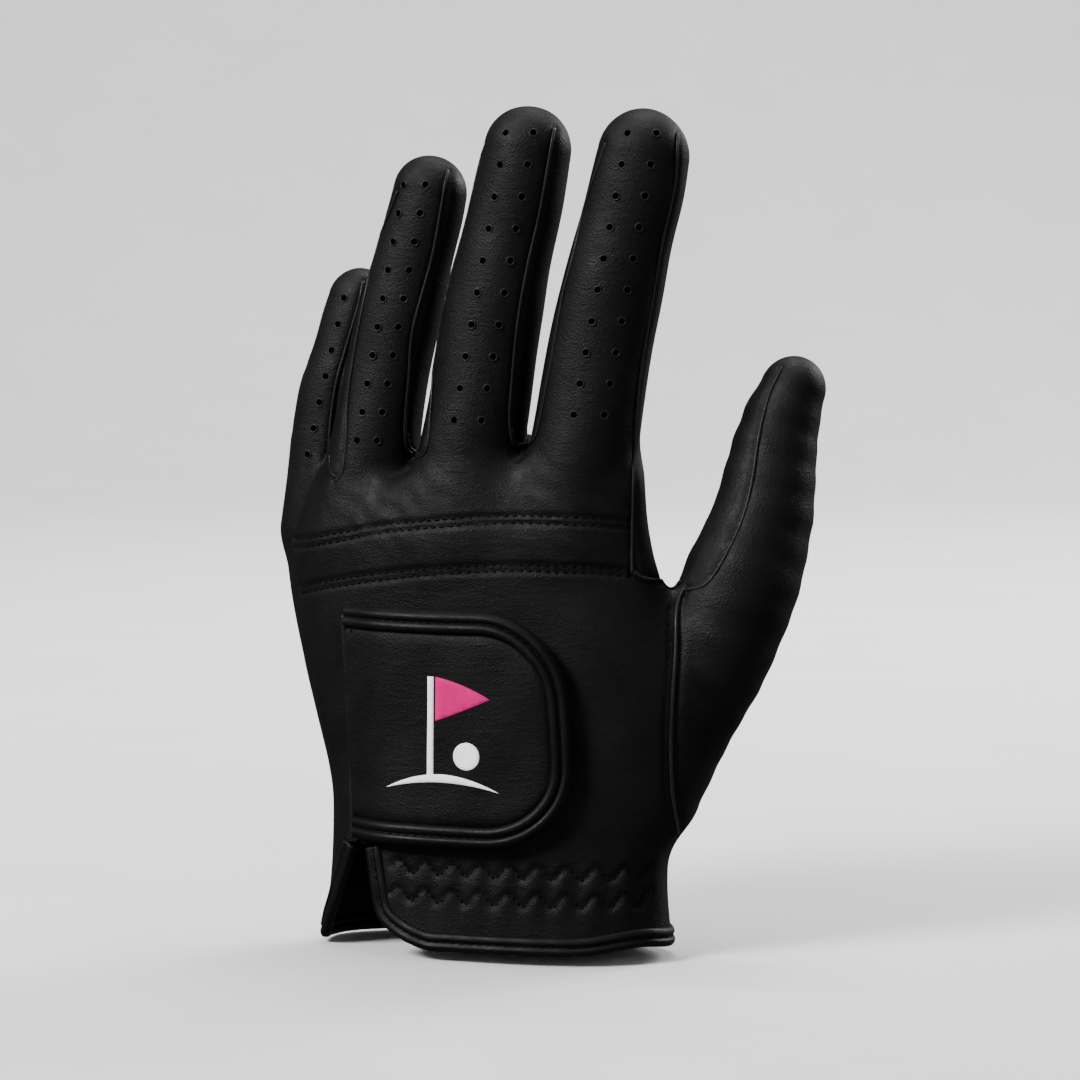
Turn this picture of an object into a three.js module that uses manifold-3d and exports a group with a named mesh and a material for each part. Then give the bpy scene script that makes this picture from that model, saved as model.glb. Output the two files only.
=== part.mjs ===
// A golf glove for the left hand, in the rounded shape that it has on a hand.
// Millimetres. +Z runs from the hem to the fingertips, the back of the hand faces -Y,
// and the thumb is on the +X side. The origin is the centre of the hand opening at the hem.
import * as THREE from "three";
import { mergeVertices } from "three/addons/utils/BufferGeometryUtils.js";
import Module from "manifold-3d";

const wasm = await Module();
wasm.setup();

// ---------- driving dimensions ----------

const LEATHER = 1.0; // thickness of one layer of leather with its lining
const SEAM_GAP = 0.3; // space between two pieces that are sewn edge to edge
const BACK_EDGE = THREE.MathUtils.degToRad(-17); // where the back ends, on the thumb side
const PALM_EXPONENT = 0.88; // under 1 squares the section of the palm a little
const ARCH_START = 5; // the palm starts to curl towards the little finger this far past its middle

// The palm from hem to knuckles: height, middle, half width, half depth, curl at the little finger.
const PALM_STATIONS = [
  [0, 0, 44.3, 21, 0],
  [24, -0.2, 43.4, 19.5, 0],
  [45, 1.1, 45.1, 17.5, 2],
  [75, -2.9, 49.2, 16.5, 7],
  [100, -9.4, 49.5, 15.5, 12],
  [118, -11.8, 48.7, 14.5, 16.5],
  [130, -12, 48.2, 13.2, 18],
];
const CURL_SHARE = 0.83; // how much of a station's curl the hand's surface takes
const HEM_BAND = 5; // height of the binding round the hem
const KNUCKLE_BAND = [99, 112]; // heights of the two cross seams at the thumb side
const KNUCKLE_BAND_DROP = 8.5; // how far both seams fall towards the little finger
const PALM_TOP = 128.2; // where the palm ends, under the index finger
const PALM_TOP_DROP = 8.2; // how much lower it ends under the little finger

const ELASTICS = { wrist_elastic_lower: 16.5, wrist_elastic_upper: 24 }; // height of each middle
const ELASTIC_WIDTH = 5.2;
const ELASTIC_THICKNESS = 0.8;
const ELASTIC_MARGIN = [0.14, 0.12]; // angles left free at the slit and at the thumb side

const SLIT_TOP = 30; // the wrist slit runs from here down to the hem
const SLIT_BACK_ANGLE = [-118, -129].map(THREE.MathUtils.degToRad); // its back edge, hem and top
const SLIT_FLAP_ANGLE = [-171, -144].map(THREE.MathUtils.degToRad); // its flap edge, hem and top
const TAB_SEAM = [-141, -128].map(THREE.MathUtils.degToRad); // seam behind the tab, low and high
const SIDE_SEAM = THREE.MathUtils.degToRad(-178); // seam under the knuckle of the little finger

// Each stall: base and tip centres, half widths at base and tip, roll of its back.
const STALLS = {
  index: {
    base: [22, 1, 130],
    tip: [36.6, 5, 212.5],
    radius: [13, 11.6],
    roll: 0,
    outer: "radial",
  },
  middle: {
    base: [-6.5, 0, 129.5],
    tip: [7.4, 5, 213.5],
    radius: [12.8, 11.1],
    roll: 2,
  },
  ring: {
    base: [-34.5, 4, 126.5],
    tip: [-19.2, 9, 201.5],
    radius: [10.9, 8.9],
    roll: 12,
  },
  little: {
    base: [-51.9, 14, 121.5],
    tip: [-40.3, 19, 173],
    radius: [8.8, 7.8],
    roll: 37,
    outer: "ulnar",
  },
};
const STALL_DEPTH = 0.93; // depth of a stall's section over its width
const STALL_SEAM = THREE.MathUtils.degToRad(51); // a seam's angle from the middle of the back
const TIP_LENGTH = 1.15; // length of the rounded tip over the half width there
const TIP_FULLNESS = 2.2; // exponent of the rounded tip's outline
const TIP_HOLE = 0.13; // share of a stall's width left open where its panels meet at the tip
const FOURCHETTE_END = 0.88; // share of a stall's panel rows that its fourchettes reach
const CROTCH_SIZE = [6.8, 12]; // each fourchette's bottom: across the gap, and back to palm
const CROTCH_SAG = [1.6, 1.2]; // how far it hangs in the middle, and at its back and palm ends
const CROTCH_DROP = 1.2; // how far below the stalls' bases it starts
const FLEX_LENGTH = 24.6; // leather at a stall's base that folds as the finger bends

// The thumb's two outlines from its base to its tip, and its half depth between them.
const THUMB_INNER = [
  [35, 5, 96],
  [49.0, 8, 103.8],
  [52.2, 13, 113.8],
  [53.6, 19, 123.8],
  [55.1, 23.5, 133.8],
  [57.6, 26.8, 142.4],
  [60.6, 28.9, 147.9],
  [64.0, 30.1, 151.3],
  [67.8, 30.4, 152.8],
];
const THUMB_OUTER = [
  [35, 5, 27],
  [57.0, 9, 53.8],
  [69.0, 14, 78.8],
  [75.3, 20, 107],
  [75.6, 24, 124],
  [75.4, 27.4, 138.5],
  [74.4, 29.0, 146],
  [71.8, 30.1, 151],
  [68.0, 30.4, 152.9],
];
const THUMB_DEPTH = [9, 15, 14, 12, 10.8, 9.2, 7.2, 4.4, 0.4];
const THUMB_REACH = [0.02, 0.965]; // shares of the outlines that the leather covers
const THUMB_GUSSET_REACH = 0.9; // the gusset ends lower than the tip
// The seams of each thumb piece, in degrees round the thumb.
const THUMB_SEAMS = { back: [-165, -18], palm: [-18, 122], gusset: [122, 195] };
const THUMB_SEAM_TURN = 1.2; // half the gap between two thumb pieces, in degrees
const THUMB_PIVOT = new THREE.Vector3(62.5, 16.5, 107);
const THUMB_DIRECTION = new THREE.Vector3(0.14, 0.3, 0.94).normalize();

// The closure tab on the back, in x or angle round the hand, and height.
const TAB_LEFT = [-34, -37.4]; // x of the sewn edge, low and high
const TAB_RIGHT = THREE.MathUtils.degToRad(-61);
const TAB_HEIGHT = [30, 88];
const TAB_LENGTH = 62;
const TAB_THICKNESS = 1.4;
const TAB_LIFT = 2.9; // underside of the tab over the back, where the fasteners are
const TAB_CORNER = 0.34; // share of the tab's length taken by its rounded end
const TAB_CORNER_DROP = 20; // height of each rounded corner
const BINDING_RADIUS = 1.3;
const PATCH_THICKNESS = 1.0; // each half of the hook and loop fastener
const PATCH_ANGLES = [-106, -70].map(THREE.MathUtils.degToRad);
const PATCH_HEIGHTS = [41, 77];
const EMBLEM_CENTRE = [-8.7, 58.5]; // on the tab, in x and height
const EMBLEM_THICKNESS = 0.4;

// ---------- materials ----------

const leather = (name, colour, roughness = 0.55) =>
  new THREE.MeshStandardMaterial({ name, color: colour, roughness, metalness: 0 });
const blackLeather = () => leather("black leather", 0x1a1918);
const blackFabric = () => leather("black fabric", 0x101010, 0.95);

const group = new THREE.Group();

function addPart(name, geometry, material = blackLeather()) {
  const mesh = new THREE.Mesh(geometry, material);
  mesh.name = name;
  group.add(mesh);
}

// ---------- solids from surfaces ----------

// Turns a mesh over if its faces point inwards.
function facingOut(positions, index) {
  const geometry = new THREE.BufferGeometry();
  geometry.setAttribute("position", new THREE.Float32BufferAttribute(positions, 3));
  let volume = 0;
  const corner = [0, 1, 2].map(() => new THREE.Vector3());
  for (let i = 0; i < index.length; i += 3) {
    corner.forEach((v, k) => v.fromArray(positions, index[i + k] * 3));
    volume += corner[0].dot(corner[1].clone().cross(corner[2]));
  }
  geometry.setIndex(volume < 0 ? index.slice().reverse() : index);
  return geometry;
}

// A closed sheet between a surface(s, t) and the same surface set back by its thickness.
// s and t run from 0 to 1. With ring set, s goes all the way round and joins itself.
function sheet(surface, steps, thickness = LEATHER, ring = false) {
  const [across, along] = steps;
  const positions = [];
  const small = 1e-3;
  const back = (s) => (ring ? s - small : Math.max(s - small, 0));
  const ahead = (s) => (ring ? s + small : Math.min(s + small, 1));
  for (const depth of [0, thickness]) {
    for (let j = 0; j <= along; j++) {
      for (let i = 0; i < across + (ring ? 0 : 1); i++) {
        const s = i / across;
        const t = j / along;
        const ds = surface(ahead(s), t).sub(surface(back(s), t));
        const dt = surface(s, Math.min(t + small, 1)).sub(surface(s, Math.max(t - small, 0)));
        const inward = dt.cross(ds).normalize();
        positions.push(...surface(s, t).addScaledVector(inward, depth).toArray());
      }
    }
  }
  const columns = across + (ring ? 0 : 1);
  const layer = columns * (along + 1);
  const at = (i, j, k) => k * layer + j * columns + (i % columns);
  const index = [];
  const quad = (a, b, c, d) => index.push(a, b, c, a, c, d);
  for (let j = 0; j < along; j++) {
    for (let i = 0; i < across; i++) {
      quad(at(i, j, 0), at(i + 1, j, 0), at(i + 1, j + 1, 0), at(i, j + 1, 0));
      quad(at(i, j, 1), at(i, j + 1, 1), at(i + 1, j + 1, 1), at(i + 1, j, 1));
    }
  }
  for (let i = 0; i < across; i++) {
    quad(at(i, 0, 0), at(i, 0, 1), at(i + 1, 0, 1), at(i + 1, 0, 0));
    quad(at(i, along, 0), at(i + 1, along, 0), at(i + 1, along, 1), at(i, along, 1));
  }
  for (let j = 0; j < along && !ring; j++) {
    quad(at(0, j, 0), at(0, j + 1, 0), at(0, j + 1, 1), at(0, j, 1));
    quad(at(across, j, 0), at(across, j, 1), at(across, j + 1, 1), at(across, j + 1, 0));
  }
  return facingOut(positions, index);
}

// A closed solid through rings of points, with a fan over each end.
function loft(rings) {
  const count = rings[0].length;
  const positions = rings.flat().flatMap((p) => p.toArray());
  const index = [];
  for (let j = 0; j + 1 < rings.length; j++) {
    for (let i = 0; i < count; i++) {
      const a = j * count + i;
      const b = j * count + ((i + 1) % count);
      index.push(a, b, b + count, a, b + count, a + count);
    }
  }
  for (const [ring, first] of [
    [rings[0], 0],
    [rings.at(-1), (rings.length - 1) * count],
  ]) {
    const middle = ring.reduce((sum, p) => sum.add(p), new THREE.Vector3());
    positions.push(...middle.divideScalar(count).toArray());
    const centre = positions.length / 3 - 1;
    for (let i = 0; i < count; i++) {
      const next = first + ((i + 1) % count);
      index.push(...(first ? [centre, first + i, next] : [centre, next, first + i]));
    }
  }
  return facingOut(positions, index);
}

// A tube with closed ends along a curve.
function tube(points, radius, steps, sides = 8) {
  const circle = new THREE.Shape();
  circle.absarc(0, 0, radius, 0, 2 * Math.PI);
  return new THREE.ExtrudeGeometry(circle, {
    steps,
    curveSegments: sides / 2,
    extrudePath: new THREE.CatmullRomCurve3(points),
  });
}

function toManifold(geometry) {
  const bare = geometry.index ? geometry.toNonIndexed() : geometry.clone();
  bare.deleteAttribute("normal");
  bare.deleteAttribute("uv");
  const merged = mergeVertices(bare, 1e-4);
  return new wasm.Manifold(
    new wasm.Mesh({
      numProp: 3,
      vertProperties: merged.attributes.position.array,
      triVerts: new Uint32Array(merged.index.array),
    }),
  );
}

function toGeometry(manifold) {
  const mesh = manifold.getMesh();
  const geometry = new THREE.BufferGeometry();
  geometry.setAttribute("position", new THREE.BufferAttribute(mesh.vertProperties, 3));
  geometry.setIndex(new THREE.BufferAttribute(mesh.triVerts, 1));
  return geometry;
}

// ---------- the surface of the palm ----------

const smooth = THREE.MathUtils.smoothstep;
const lerp = THREE.MathUtils.lerp;
const clamp = THREE.MathUtils.clamp;

// The palm's values at a height, joined smoothly from station to station.
const stationCurves = [1, 2, 3, 4].map(
  (column) => new THREE.SplineCurve(PALM_STATIONS.map((row) => new THREE.Vector2(row[0], row[column]))),
);
function palmStation(z) {
  const last = PALM_STATIONS.length - 1;
  let k = 0;
  while (k < last - 1 && z > PALM_STATIONS[k + 1][0]) k++;
  const [low, high] = [PALM_STATIONS[k][0], PALM_STATIONS[k + 1][0]];
  const share = (k + clamp((z - low) / (high - low), 0, 1)) / last;
  return stationCurves.map((curve) => curve.getPoint(share).y);
}

const squared = (value) => Math.sign(value) * Math.abs(value) ** PALM_EXPONENT;

// A point of the palm's outside, at an angle from +X towards +Y and a height, set off by lift.
function palmPoint(angle, z, lift = 0) {
  const [middle, halfWidth, halfDepth, curl] = palmStation(z);
  const x = middle + (halfWidth + lift) * squared(Math.cos(angle));
  const y = (halfDepth + lift) * squared(Math.sin(angle));
  const out = Math.max(0, (middle + ARCH_START - x) / halfWidth);
  return new THREE.Vector3(x, y + curl * out * out * CURL_SHARE, z);
}

// The back's angle at a distance across it, for a point set off by lift.
function backAngle(x, z, lift) {
  const [middle, halfWidth] = palmStation(z);
  const share = (x - middle) / (halfWidth + lift);
  return -Math.acos(Math.sign(share) * Math.abs(share) ** (1 / PALM_EXPONENT));
}

// Heights that fall towards the little finger, as the knuckles do.
function palmTop(angle) {
  const x = palmPoint(angle, PALM_TOP - 4).x;
  return PALM_TOP - PALM_TOP_DROP * clamp((-2 - x) / 46, 0, 1);
}
function crossSeam(height, angle) {
  return height - KNUCKLE_BAND_DROP * clamp(-angle / Math.PI, 0, 1) ** 1.6;
}

// The edge of the palm leather on the back: the slit's flap below, the tab's seam above.
function trankEdge(z) {
  const [low, high] = TAB_HEIGHT;
  return z < SLIT_TOP
    ? lerp(...SLIT_FLAP_ANGLE, z / SLIT_TOP)
    : lerp(...TAB_SEAM, clamp((z - low) / (high - low), 0, 1));
}
function backEdge(z) {
  return z < SLIT_TOP
    ? lerp(...SLIT_BACK_ANGLE, z / SLIT_TOP)
    : trankEdge(z) + 0.012;
}

// ---------- the thumb's surface ----------

const thumbInner = new THREE.CatmullRomCurve3(THUMB_INNER.map((p) => new THREE.Vector3(...p)));
const thumbOuter = new THREE.CatmullRomCurve3(THUMB_OUTER.map((p) => new THREE.Vector3(...p)));
const thumbDepth = new THREE.SplineCurve(
  THUMB_DEPTH.map((depth, k) => new THREE.Vector2(k, depth)),
);

// A point of the thumb's outside: angle 0 is its outer edge, 90 degrees its palm side.
function thumbPoint(angle, t, lift = 0) {
  const inner = thumbInner.getPoint(t);
  const outer = thumbOuter.getPoint(t);
  const middle = inner.clone().add(outer).multiplyScalar(0.5);
  const width = outer.clone().sub(middle);
  const ahead = t < 0.99 ? t + 0.01 : t;
  const along = thumbInner
    .getPoint(ahead)
    .add(thumbOuter.getPoint(ahead))
    .sub(thumbInner.getPoint(ahead - 0.01))
    .sub(thumbOuter.getPoint(ahead - 0.01));
  const depth = along.cross(width).normalize().multiplyScalar(-1);
  const half = width.length() + lift;
  return middle
    .addScaledVector(width.normalize(), half * Math.cos(angle))
    .addScaledVector(depth, -(thumbDepth.getPoint(t).y + lift) * Math.sin(angle));
}

// ---------- cutters ----------

function palmSolid(lift) {
  const rings = [];
  for (let z = -4; z <= 132; z += 8) {
    const ring = [];
    for (let i = 0; i < 40; i++) {
      ring.push(palmPoint((2 * Math.PI * i) / 40, z, lift));
    }
    rings.push(ring);
  }
  return toManifold(loft(rings));
}

function thumbSolid(lift) {
  const rings = [];
  for (let j = 0; j <= 12; j++) {
    const ring = [];
    for (let i = 0; i < 24; i++) {
      ring.push(thumbPoint((2 * Math.PI * i) / 24, (0.97 * j) / 12, lift));
    }
    rings.push(ring);
  }
  return toManifold(loft(rings));
}

// A block that holds everything between two distances along the thumb from its pivot.
function thumbSlice(from, to) {
  const block = new THREE.BoxGeometry(160, 160, to - from);
  block.translate(0, 0, (from + to) / 2);
  const turn = new THREE.Quaternion().setFromUnitVectors(
    new THREE.Vector3(0, 0, 1),
    THUMB_DIRECTION,
  );
  block.applyQuaternion(turn);
  block.translate(...THUMB_PIVOT.toArray());
  return toManifold(block);
}

// ---------- palm and back of the hand ----------

const thumbHole = thumbSolid(SEAM_GAP);
const palmInside = palmSolid(SEAM_GAP);

function addPalmPanel() {
  const hem = HEM_BAND + SEAM_GAP;
  const surface = (s, t) => {
    const edge = trankEdge(lerp(hem, PALM_TOP, t)) + 2 * Math.PI;
    const angle = lerp(BACK_EDGE + 0.01, edge, s);
    const fall = (PALM_TOP - palmTop(angle)) * t ** 4;
    return palmPoint(angle, lerp(hem, PALM_TOP, t) - fall);
  };
  const whole = toManifold(sheet(surface, [26, 10]));
  // Above the lower knuckle seam the back reaches round to the side seam.
  const clear = (s, t) => {
    const angle = lerp(SIDE_SEAM - 0.02, TAB_SEAM[1] + 0.3, s);
    const low = crossSeam(KNUCKLE_BAND[0], angle) - SEAM_GAP;
    return palmPoint(angle, lerp(low, PALM_TOP + 4, t), 0.5);
  };
  const corner = toManifold(sheet(clear, [16, 4], 3));
  addPart("palm_panel", toGeometry(whole.subtract(corner).subtract(thumbHole)));
}

// A panel of the back: from its far edge at a height to the thumb side, between two heights.
function addBackPanel(name, edge, low, high, steps) {
  const surface = (s, t) => {
    const far = lerp(low(TAB_SEAM[1]), high(TAB_SEAM[1]), t);
    const angle = lerp(edge(far), BACK_EDGE, s);
    return palmPoint(angle, lerp(low(angle), high(angle), t));
  };
  const whole = toManifold(sheet(surface, steps));
  addPart(name, toGeometry(whole.subtract(thumbHole)));
}

function addBack() {
  const [lowSeam, highSeam] = KNUCKLE_BAND;
  const seamLine = (height) => (angle) => crossSeam(height, angle);
  const side = () => SIDE_SEAM;
  addBackPanel("lower_back_panel", backEdge, () => HEM_BAND + SEAM_GAP,
    seamLine(lowSeam - SEAM_GAP), [14, 11]);
  addBackPanel("knuckle_band", side, seamLine(lowSeam), seamLine(highSeam), [16, 2]);
  addBackPanel("upper_back_panel", side, seamLine(highSeam + SEAM_GAP), palmTop, [16, 2]);
}

// The rolled binding: down the back edge of the slit, round the hem and up the flap.
function addCuffBinding() {
  const inset = (angle, z) => palmPoint(angle, z, -0.5);
  const middle = HEM_BAND / 2;
  const aside = 0.066; // angle that keeps the roll beside the panel's edge
  const slit = [8, 15, 22, SLIT_TOP - 1];
  const points = slit.map((z) => inset(backEdge(z) - aside, z)).reverse();
  const first = backEdge(0) + 0.09;
  const last = trankEdge(0) + 2 * Math.PI - 0.09;
  points.push(inset(first - 0.16, middle + 0.9));
  const count = 18;
  for (let i = 0; i <= count; i++) {
    points.push(inset(lerp(first, last, i / count), middle));
  }
  points.push(inset(last + 0.2, middle + 0.9));
  points.push(...slit.map((z) => inset(trankEdge(z) + aside, z)));
  addPart("cuff_binding", tube(points, BINDING_RADIUS, 56, 6), leather("binding", 0x151413, 0.45));
}

// Two elastic tapes inside the back of the wrist.
function addWristElastics() {
  const [atSlit, atThumb] = ELASTIC_MARGIN;
  for (const [name, z] of Object.entries(ELASTICS)) {
    const surface = (s, t) => {
      const height = z + ELASTIC_WIDTH * (t - 0.5);
      const angle = lerp(backEdge(height) + atSlit, BACK_EDGE - atThumb, s);
      return palmPoint(angle, height, -LEATHER - SEAM_GAP - 0.1);
    };
    addPart(name, sheet(surface, [16, 1], ELASTIC_THICKNESS), blackFabric());
  }
}

// ---------- fingers ----------

function stallCentre(stall, z) {
  const base = new THREE.Vector3(...stall.base);
  const tip = new THREE.Vector3(...stall.tip);
  return base.lerp(tip, (z - stall.base[2]) / (stall.tip[2] - stall.base[2]));
}

// A point of a stall's outside. Angle 0 is the middle of its back, positive towards the thumb.
function stallPoint(stall, angle, z, lift = 0) {
  const tipHeight = stall.tip[2];
  const [wide, narrow] = stall.radius;
  const share = (z - stall.base[2]) / (tipHeight - stall.base[2]);
  const dome = clamp((tipHeight - z) / (TIP_LENGTH * narrow), 0, 1);
  const rounding = Math.sqrt(1 - (1 - dome) ** TIP_FULLNESS);
  const radius = lerp(wide, narrow, share) * Math.max(rounding, TIP_HOLE) + lift;
  const turn = angle - THREE.MathUtils.degToRad(stall.roll);
  const centre = stallCentre(stall, z);
  centre.x += radius * Math.sin(turn);
  centre.y -= radius * STALL_DEPTH * Math.cos(turn);
  return centre;
}

// Heights of the rows of a stall, closer together over the rounded tip.
function stallHeight(stall, t) {
  const low = stall.base[2] + FLEX_LENGTH + 2 * SEAM_GAP;
  const dome = stall.tip[2] - TIP_LENGTH * stall.radius[1];
  const straight = 0.45;
  if (t < straight) return lerp(low, dome, t / straight);
  const quarter = ((t - straight) / (1 - straight)) * (Math.PI / 2);
  return lerp(dome, stall.tip[2], Math.sin(quarter));
}

function addStallPanel(name, stall, from, to, steps, end = 1) {
  const gap = (SEAM_GAP / 2 + 0.05) / stall.radius[1];
  const surface = (s, t) => {
    return stallPoint(stall, lerp(from + gap, to - gap, s), stallHeight(stall, end * t));
  };
  addPart(name, sheet(surface, steps));
}

function addStall(finger, stall) {
  const low = stall.base[2];
  const ring = (s, t) => stallPoint(stall, 2 * Math.PI * s, low + FLEX_LENGTH * t);
  addPart(finger + "_flex_leather", sheet(ring, [20, 3], LEATHER, true));
  const seam = STALL_SEAM;
  const far = Math.PI - seam;
  const rows = 8;
  const backFrom = stall.outer === "ulnar" ? -far : -seam;
  const palmFrom = stall.outer === "radial" ? seam : far;
  const palmTo = 2 * Math.PI - far;
  addStallPanel(finger + "_back", stall, backFrom, seam, [stall.outer === "ulnar" ? 8 : 5, rows]);
  addStallPanel(finger + "_palm", stall, palmFrom, palmTo, [stall.outer === "radial" ? 8 : 5, rows]);
  if (stall.outer !== "radial") {
    addStallPanel(finger + "_radial_fourchette", stall, seam, far, [3, rows], FOURCHETTE_END);
  }
  if (stall.outer !== "ulnar") {
    addStallPanel(finger + "_ulnar_fourchette", stall, -far, -seam, [3, rows], FOURCHETTE_END);
  }
}

// The bottom of each fourchette: a short saddle across the gap between two stalls.
function addCrotch(name, radial, ulnar) {
  const lower = Math.min(radial.base[2], ulnar.base[2]) - CROTCH_DROP;
  const right = stallPoint(radial, -Math.PI / 2, radial.base[2]);
  const left = stallPoint(ulnar, Math.PI / 2, ulnar.base[2]);
  const middle = right.clone().add(left).multiplyScalar(0.5);
  const surface = (s, t) => {
    const across = lerp(-1, 1, s);
    const along = lerp(-1, 1, t);
    const sag = CROTCH_SAG[0] * (1 - across * across) + CROTCH_SAG[1] * along * along;
    return new THREE.Vector3(
      middle.x - (CROTCH_SIZE[0] / 2) * across,
      middle.y + (CROTCH_SIZE[1] / 2) * along,
      lower - sag,
    );
  };
  addPart(name, sheet(surface, [4, 6]));
}

function addFingers() {
  for (const [finger, stall] of Object.entries(STALLS)) addStall(finger, stall);
  const { index, middle, ring, little } = STALLS;
  addCrotch("fourchette_index_middle", index, middle);
  addCrotch("fourchette_middle_ring", middle, ring);
  addCrotch("fourchette_ring_little", ring, little);
}

// ---------- thumb ----------

function addThumb() {
  const half = FLEX_LENGTH / 2;
  const base = thumbSlice(-150, -half - SEAM_GAP);
  const flex = thumbSlice(-half, half);
  const free = thumbSlice(half + SEAM_GAP, 150);
  const [start, end] = THUMB_REACH;
  for (const [piece, [from, to]] of Object.entries(THUMB_SEAMS)) {
    const reach = piece === "gusset" ? THUMB_GUSSET_REACH : end;
    const across = piece === "gusset" ? 4 : 7;
    const surface = (s, t) => {
      const angle = THREE.MathUtils.degToRad(lerp(from + THUMB_SEAM_TURN, to - THUMB_SEAM_TURN, s));
      return thumbPoint(angle, lerp(start, reach, t));
    };
    const whole = toManifold(sheet(surface, [across, 12]));
    addPart("thumb_" + piece, toGeometry(whole.intersect(free)));
    addPart(
      "thumb_base_" + piece,
      toGeometry(whole.intersect(base).subtract(palmInside)),
    );
  }
  const around = (s, t) => thumbPoint(2 * Math.PI * s, lerp(start, end, t));
  const ring = toManifold(sheet(around, [20, 12], LEATHER, true));
  addPart("thumb_flex_leather", toGeometry(ring.intersect(flex).subtract(palmInside)));
}

// ---------- closure tab ----------

// The tab's lowest and highest point at a share of its length, for an outline set in by inset.
function tabHeights(s, inset) {
  const straight = 1 - TAB_CORNER;
  const round = clamp((s - straight) / (1 - inset / TAB_LENGTH - straight), 0, 1);
  const drop = (TAB_CORNER_DROP - inset / 2) * (1 - Math.sqrt(1 - round * round));
  return [TAB_HEIGHT[0] + inset + drop, TAB_HEIGHT[1] - inset - drop];
}

// The tab's underside rises off the back over its first few millimetres.
const tabLift = (s) => lerp(0.8, TAB_LIFT, smooth(s, 0, 0.3));

// A point over the back in the tab's outline: share of its length, height, distance over its underside.
function tabPoint(s, z, lift) {
  const [low, high] = TAB_HEIGHT;
  const left = backAngle(lerp(...TAB_LEFT, (z - low) / (high - low)), z, tabLift(0) + lift);
  return palmPoint(lerp(left, TAB_RIGHT, s), z, tabLift(s) + lift);
}

function addTabPanel() {
  const inset = 2 * BINDING_RADIUS + 2 * SEAM_GAP;
  const surface = (s, t) => {
    const share = s * (1 - inset / TAB_LENGTH);
    return tabPoint(share, lerp(...tabHeights(share, inset), t), TAB_THICKNESS);
  };
  addPart("tab_panel", sheet(surface, [14, 6], TAB_THICKNESS));
}

// The rolled binding along the tab's top, rounded end and bottom.
function addTabBinding() {
  const inset = BINDING_RADIUS;
  const end = 1 - inset / TAB_LENGTH;
  const shares = [0.02, 0.3, 0.55, 0.66, 0.76, 0.86, 0.93, 0.97].map((share) => share * end);
  const at = (s, side) => tabPoint(s, tabHeights(s, inset)[side], TAB_THICKNESS / 2);
  const [low, high] = tabHeights(end, inset);
  const points = [
    ...shares.map((s) => at(s, 1)),
    ...[0.85, 0.5, 0.15].map((t) => tabPoint(end, lerp(low, high, t), TAB_THICKNESS / 2)),
    ...shares.reverse().map((s) => at(s, 0)),
  ];
  addPart("tab_binding", tube(points, BINDING_RADIUS - 0.1, 40, 6), leather("binding", 0x151413, 0.45));
}

function addFasteners() {
  const patch = (lift) => (s, t) =>
    palmPoint(lerp(...PATCH_ANGLES, s), lerp(...PATCH_HEIGHTS, t), lift);
  const lift = SEAM_GAP + PATCH_THICKNESS;
  addPart("loop_patch", sheet(patch(lift), [6, 3], PATCH_THICKNESS), blackFabric());
  addPart("hook_patch", sheet(patch(2 * lift), [6, 3], PATCH_THICKNESS), leather("hook tape", 0x0c0c0c, 0.8));
}

// A flat printed shape, bent onto the tab.
function addEmblemPiece(name, shape, colour) {
  const geometry = new THREE.ExtrudeGeometry(shape, {
    depth: EMBLEM_THICKNESS,
    bevelEnabled: false,
    curveSegments: 10,
  });
  const place = geometry.attributes.position;
  const lift = TAB_LIFT + TAB_THICKNESS + 2 * SEAM_GAP;
  for (let i = 0; i < place.count; i++) {
    const x = EMBLEM_CENTRE[0] + place.getX(i);
    const z = EMBLEM_CENTRE[1] + place.getY(i);
    const out = lift + place.getZ(i);
    place.setXYZ(i, ...palmPoint(backAngle(x, z, out), z, out).toArray());
  }
  addPart(name, geometry, leather(name, colour, 0.5));
}

// A generic golf sign: a pennant on its stick, a green under it and a ball beside it.
function addEmblem() {
  const stick = new THREE.Shape();
  stick.moveTo(-3.8, 15);
  stick.lineTo(-3.8, -9.4);
  stick.quadraticCurveTo(-9, -10, -15, -13.2);
  stick.quadraticCurveTo(0, -9, 15, -13.2);
  stick.quadraticCurveTo(6, -8.6, -2.2, -9.2);
  stick.lineTo(-2.2, 15);
  addEmblemPiece("tab_emblem_stick", stick, 0xeeeeec);

  const pennant = new THREE.Shape();
  pennant.moveTo(-1.7, 15);
  pennant.quadraticCurveTo(5, 14, 12.5, 9.8);
  pennant.quadraticCurveTo(5, 6.4, -1.7, 4);
  addEmblemPiece("tab_emblem_pennant", pennant, 0xe5207a);

  const ball = new THREE.Shape();
  ball.absarc(6.5, -4.4, 3.4, 0, 2 * Math.PI);
  addEmblemPiece("tab_emblem_ball", ball, 0xeeeeec);
}

addPalmPanel();
addBack();
addCuffBinding();
addWristElastics();
addFingers();
addThumb();
addTabPanel();
addTabBinding();
addFasteners();
addEmblem();

export default group;
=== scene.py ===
"""Looks of the left-hand golf glove: leather over a smooth hand shape, bindings, stitching and print.

Lengths are millimetres in the row frame until a mesh is made, which turns them into metres.
"Facing" coordinates are a point's place across the glove, seen from 16 degrees towards the
thumb side of its back, and its height. Seams are drawn in them and then laid on the leather.
"""

import math

import bpy
import numpy as np
import openvdb
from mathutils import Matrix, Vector
from mathutils.geometry import delaunay_2d_cdt
from mathutils.kdtree import KDTree


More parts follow.
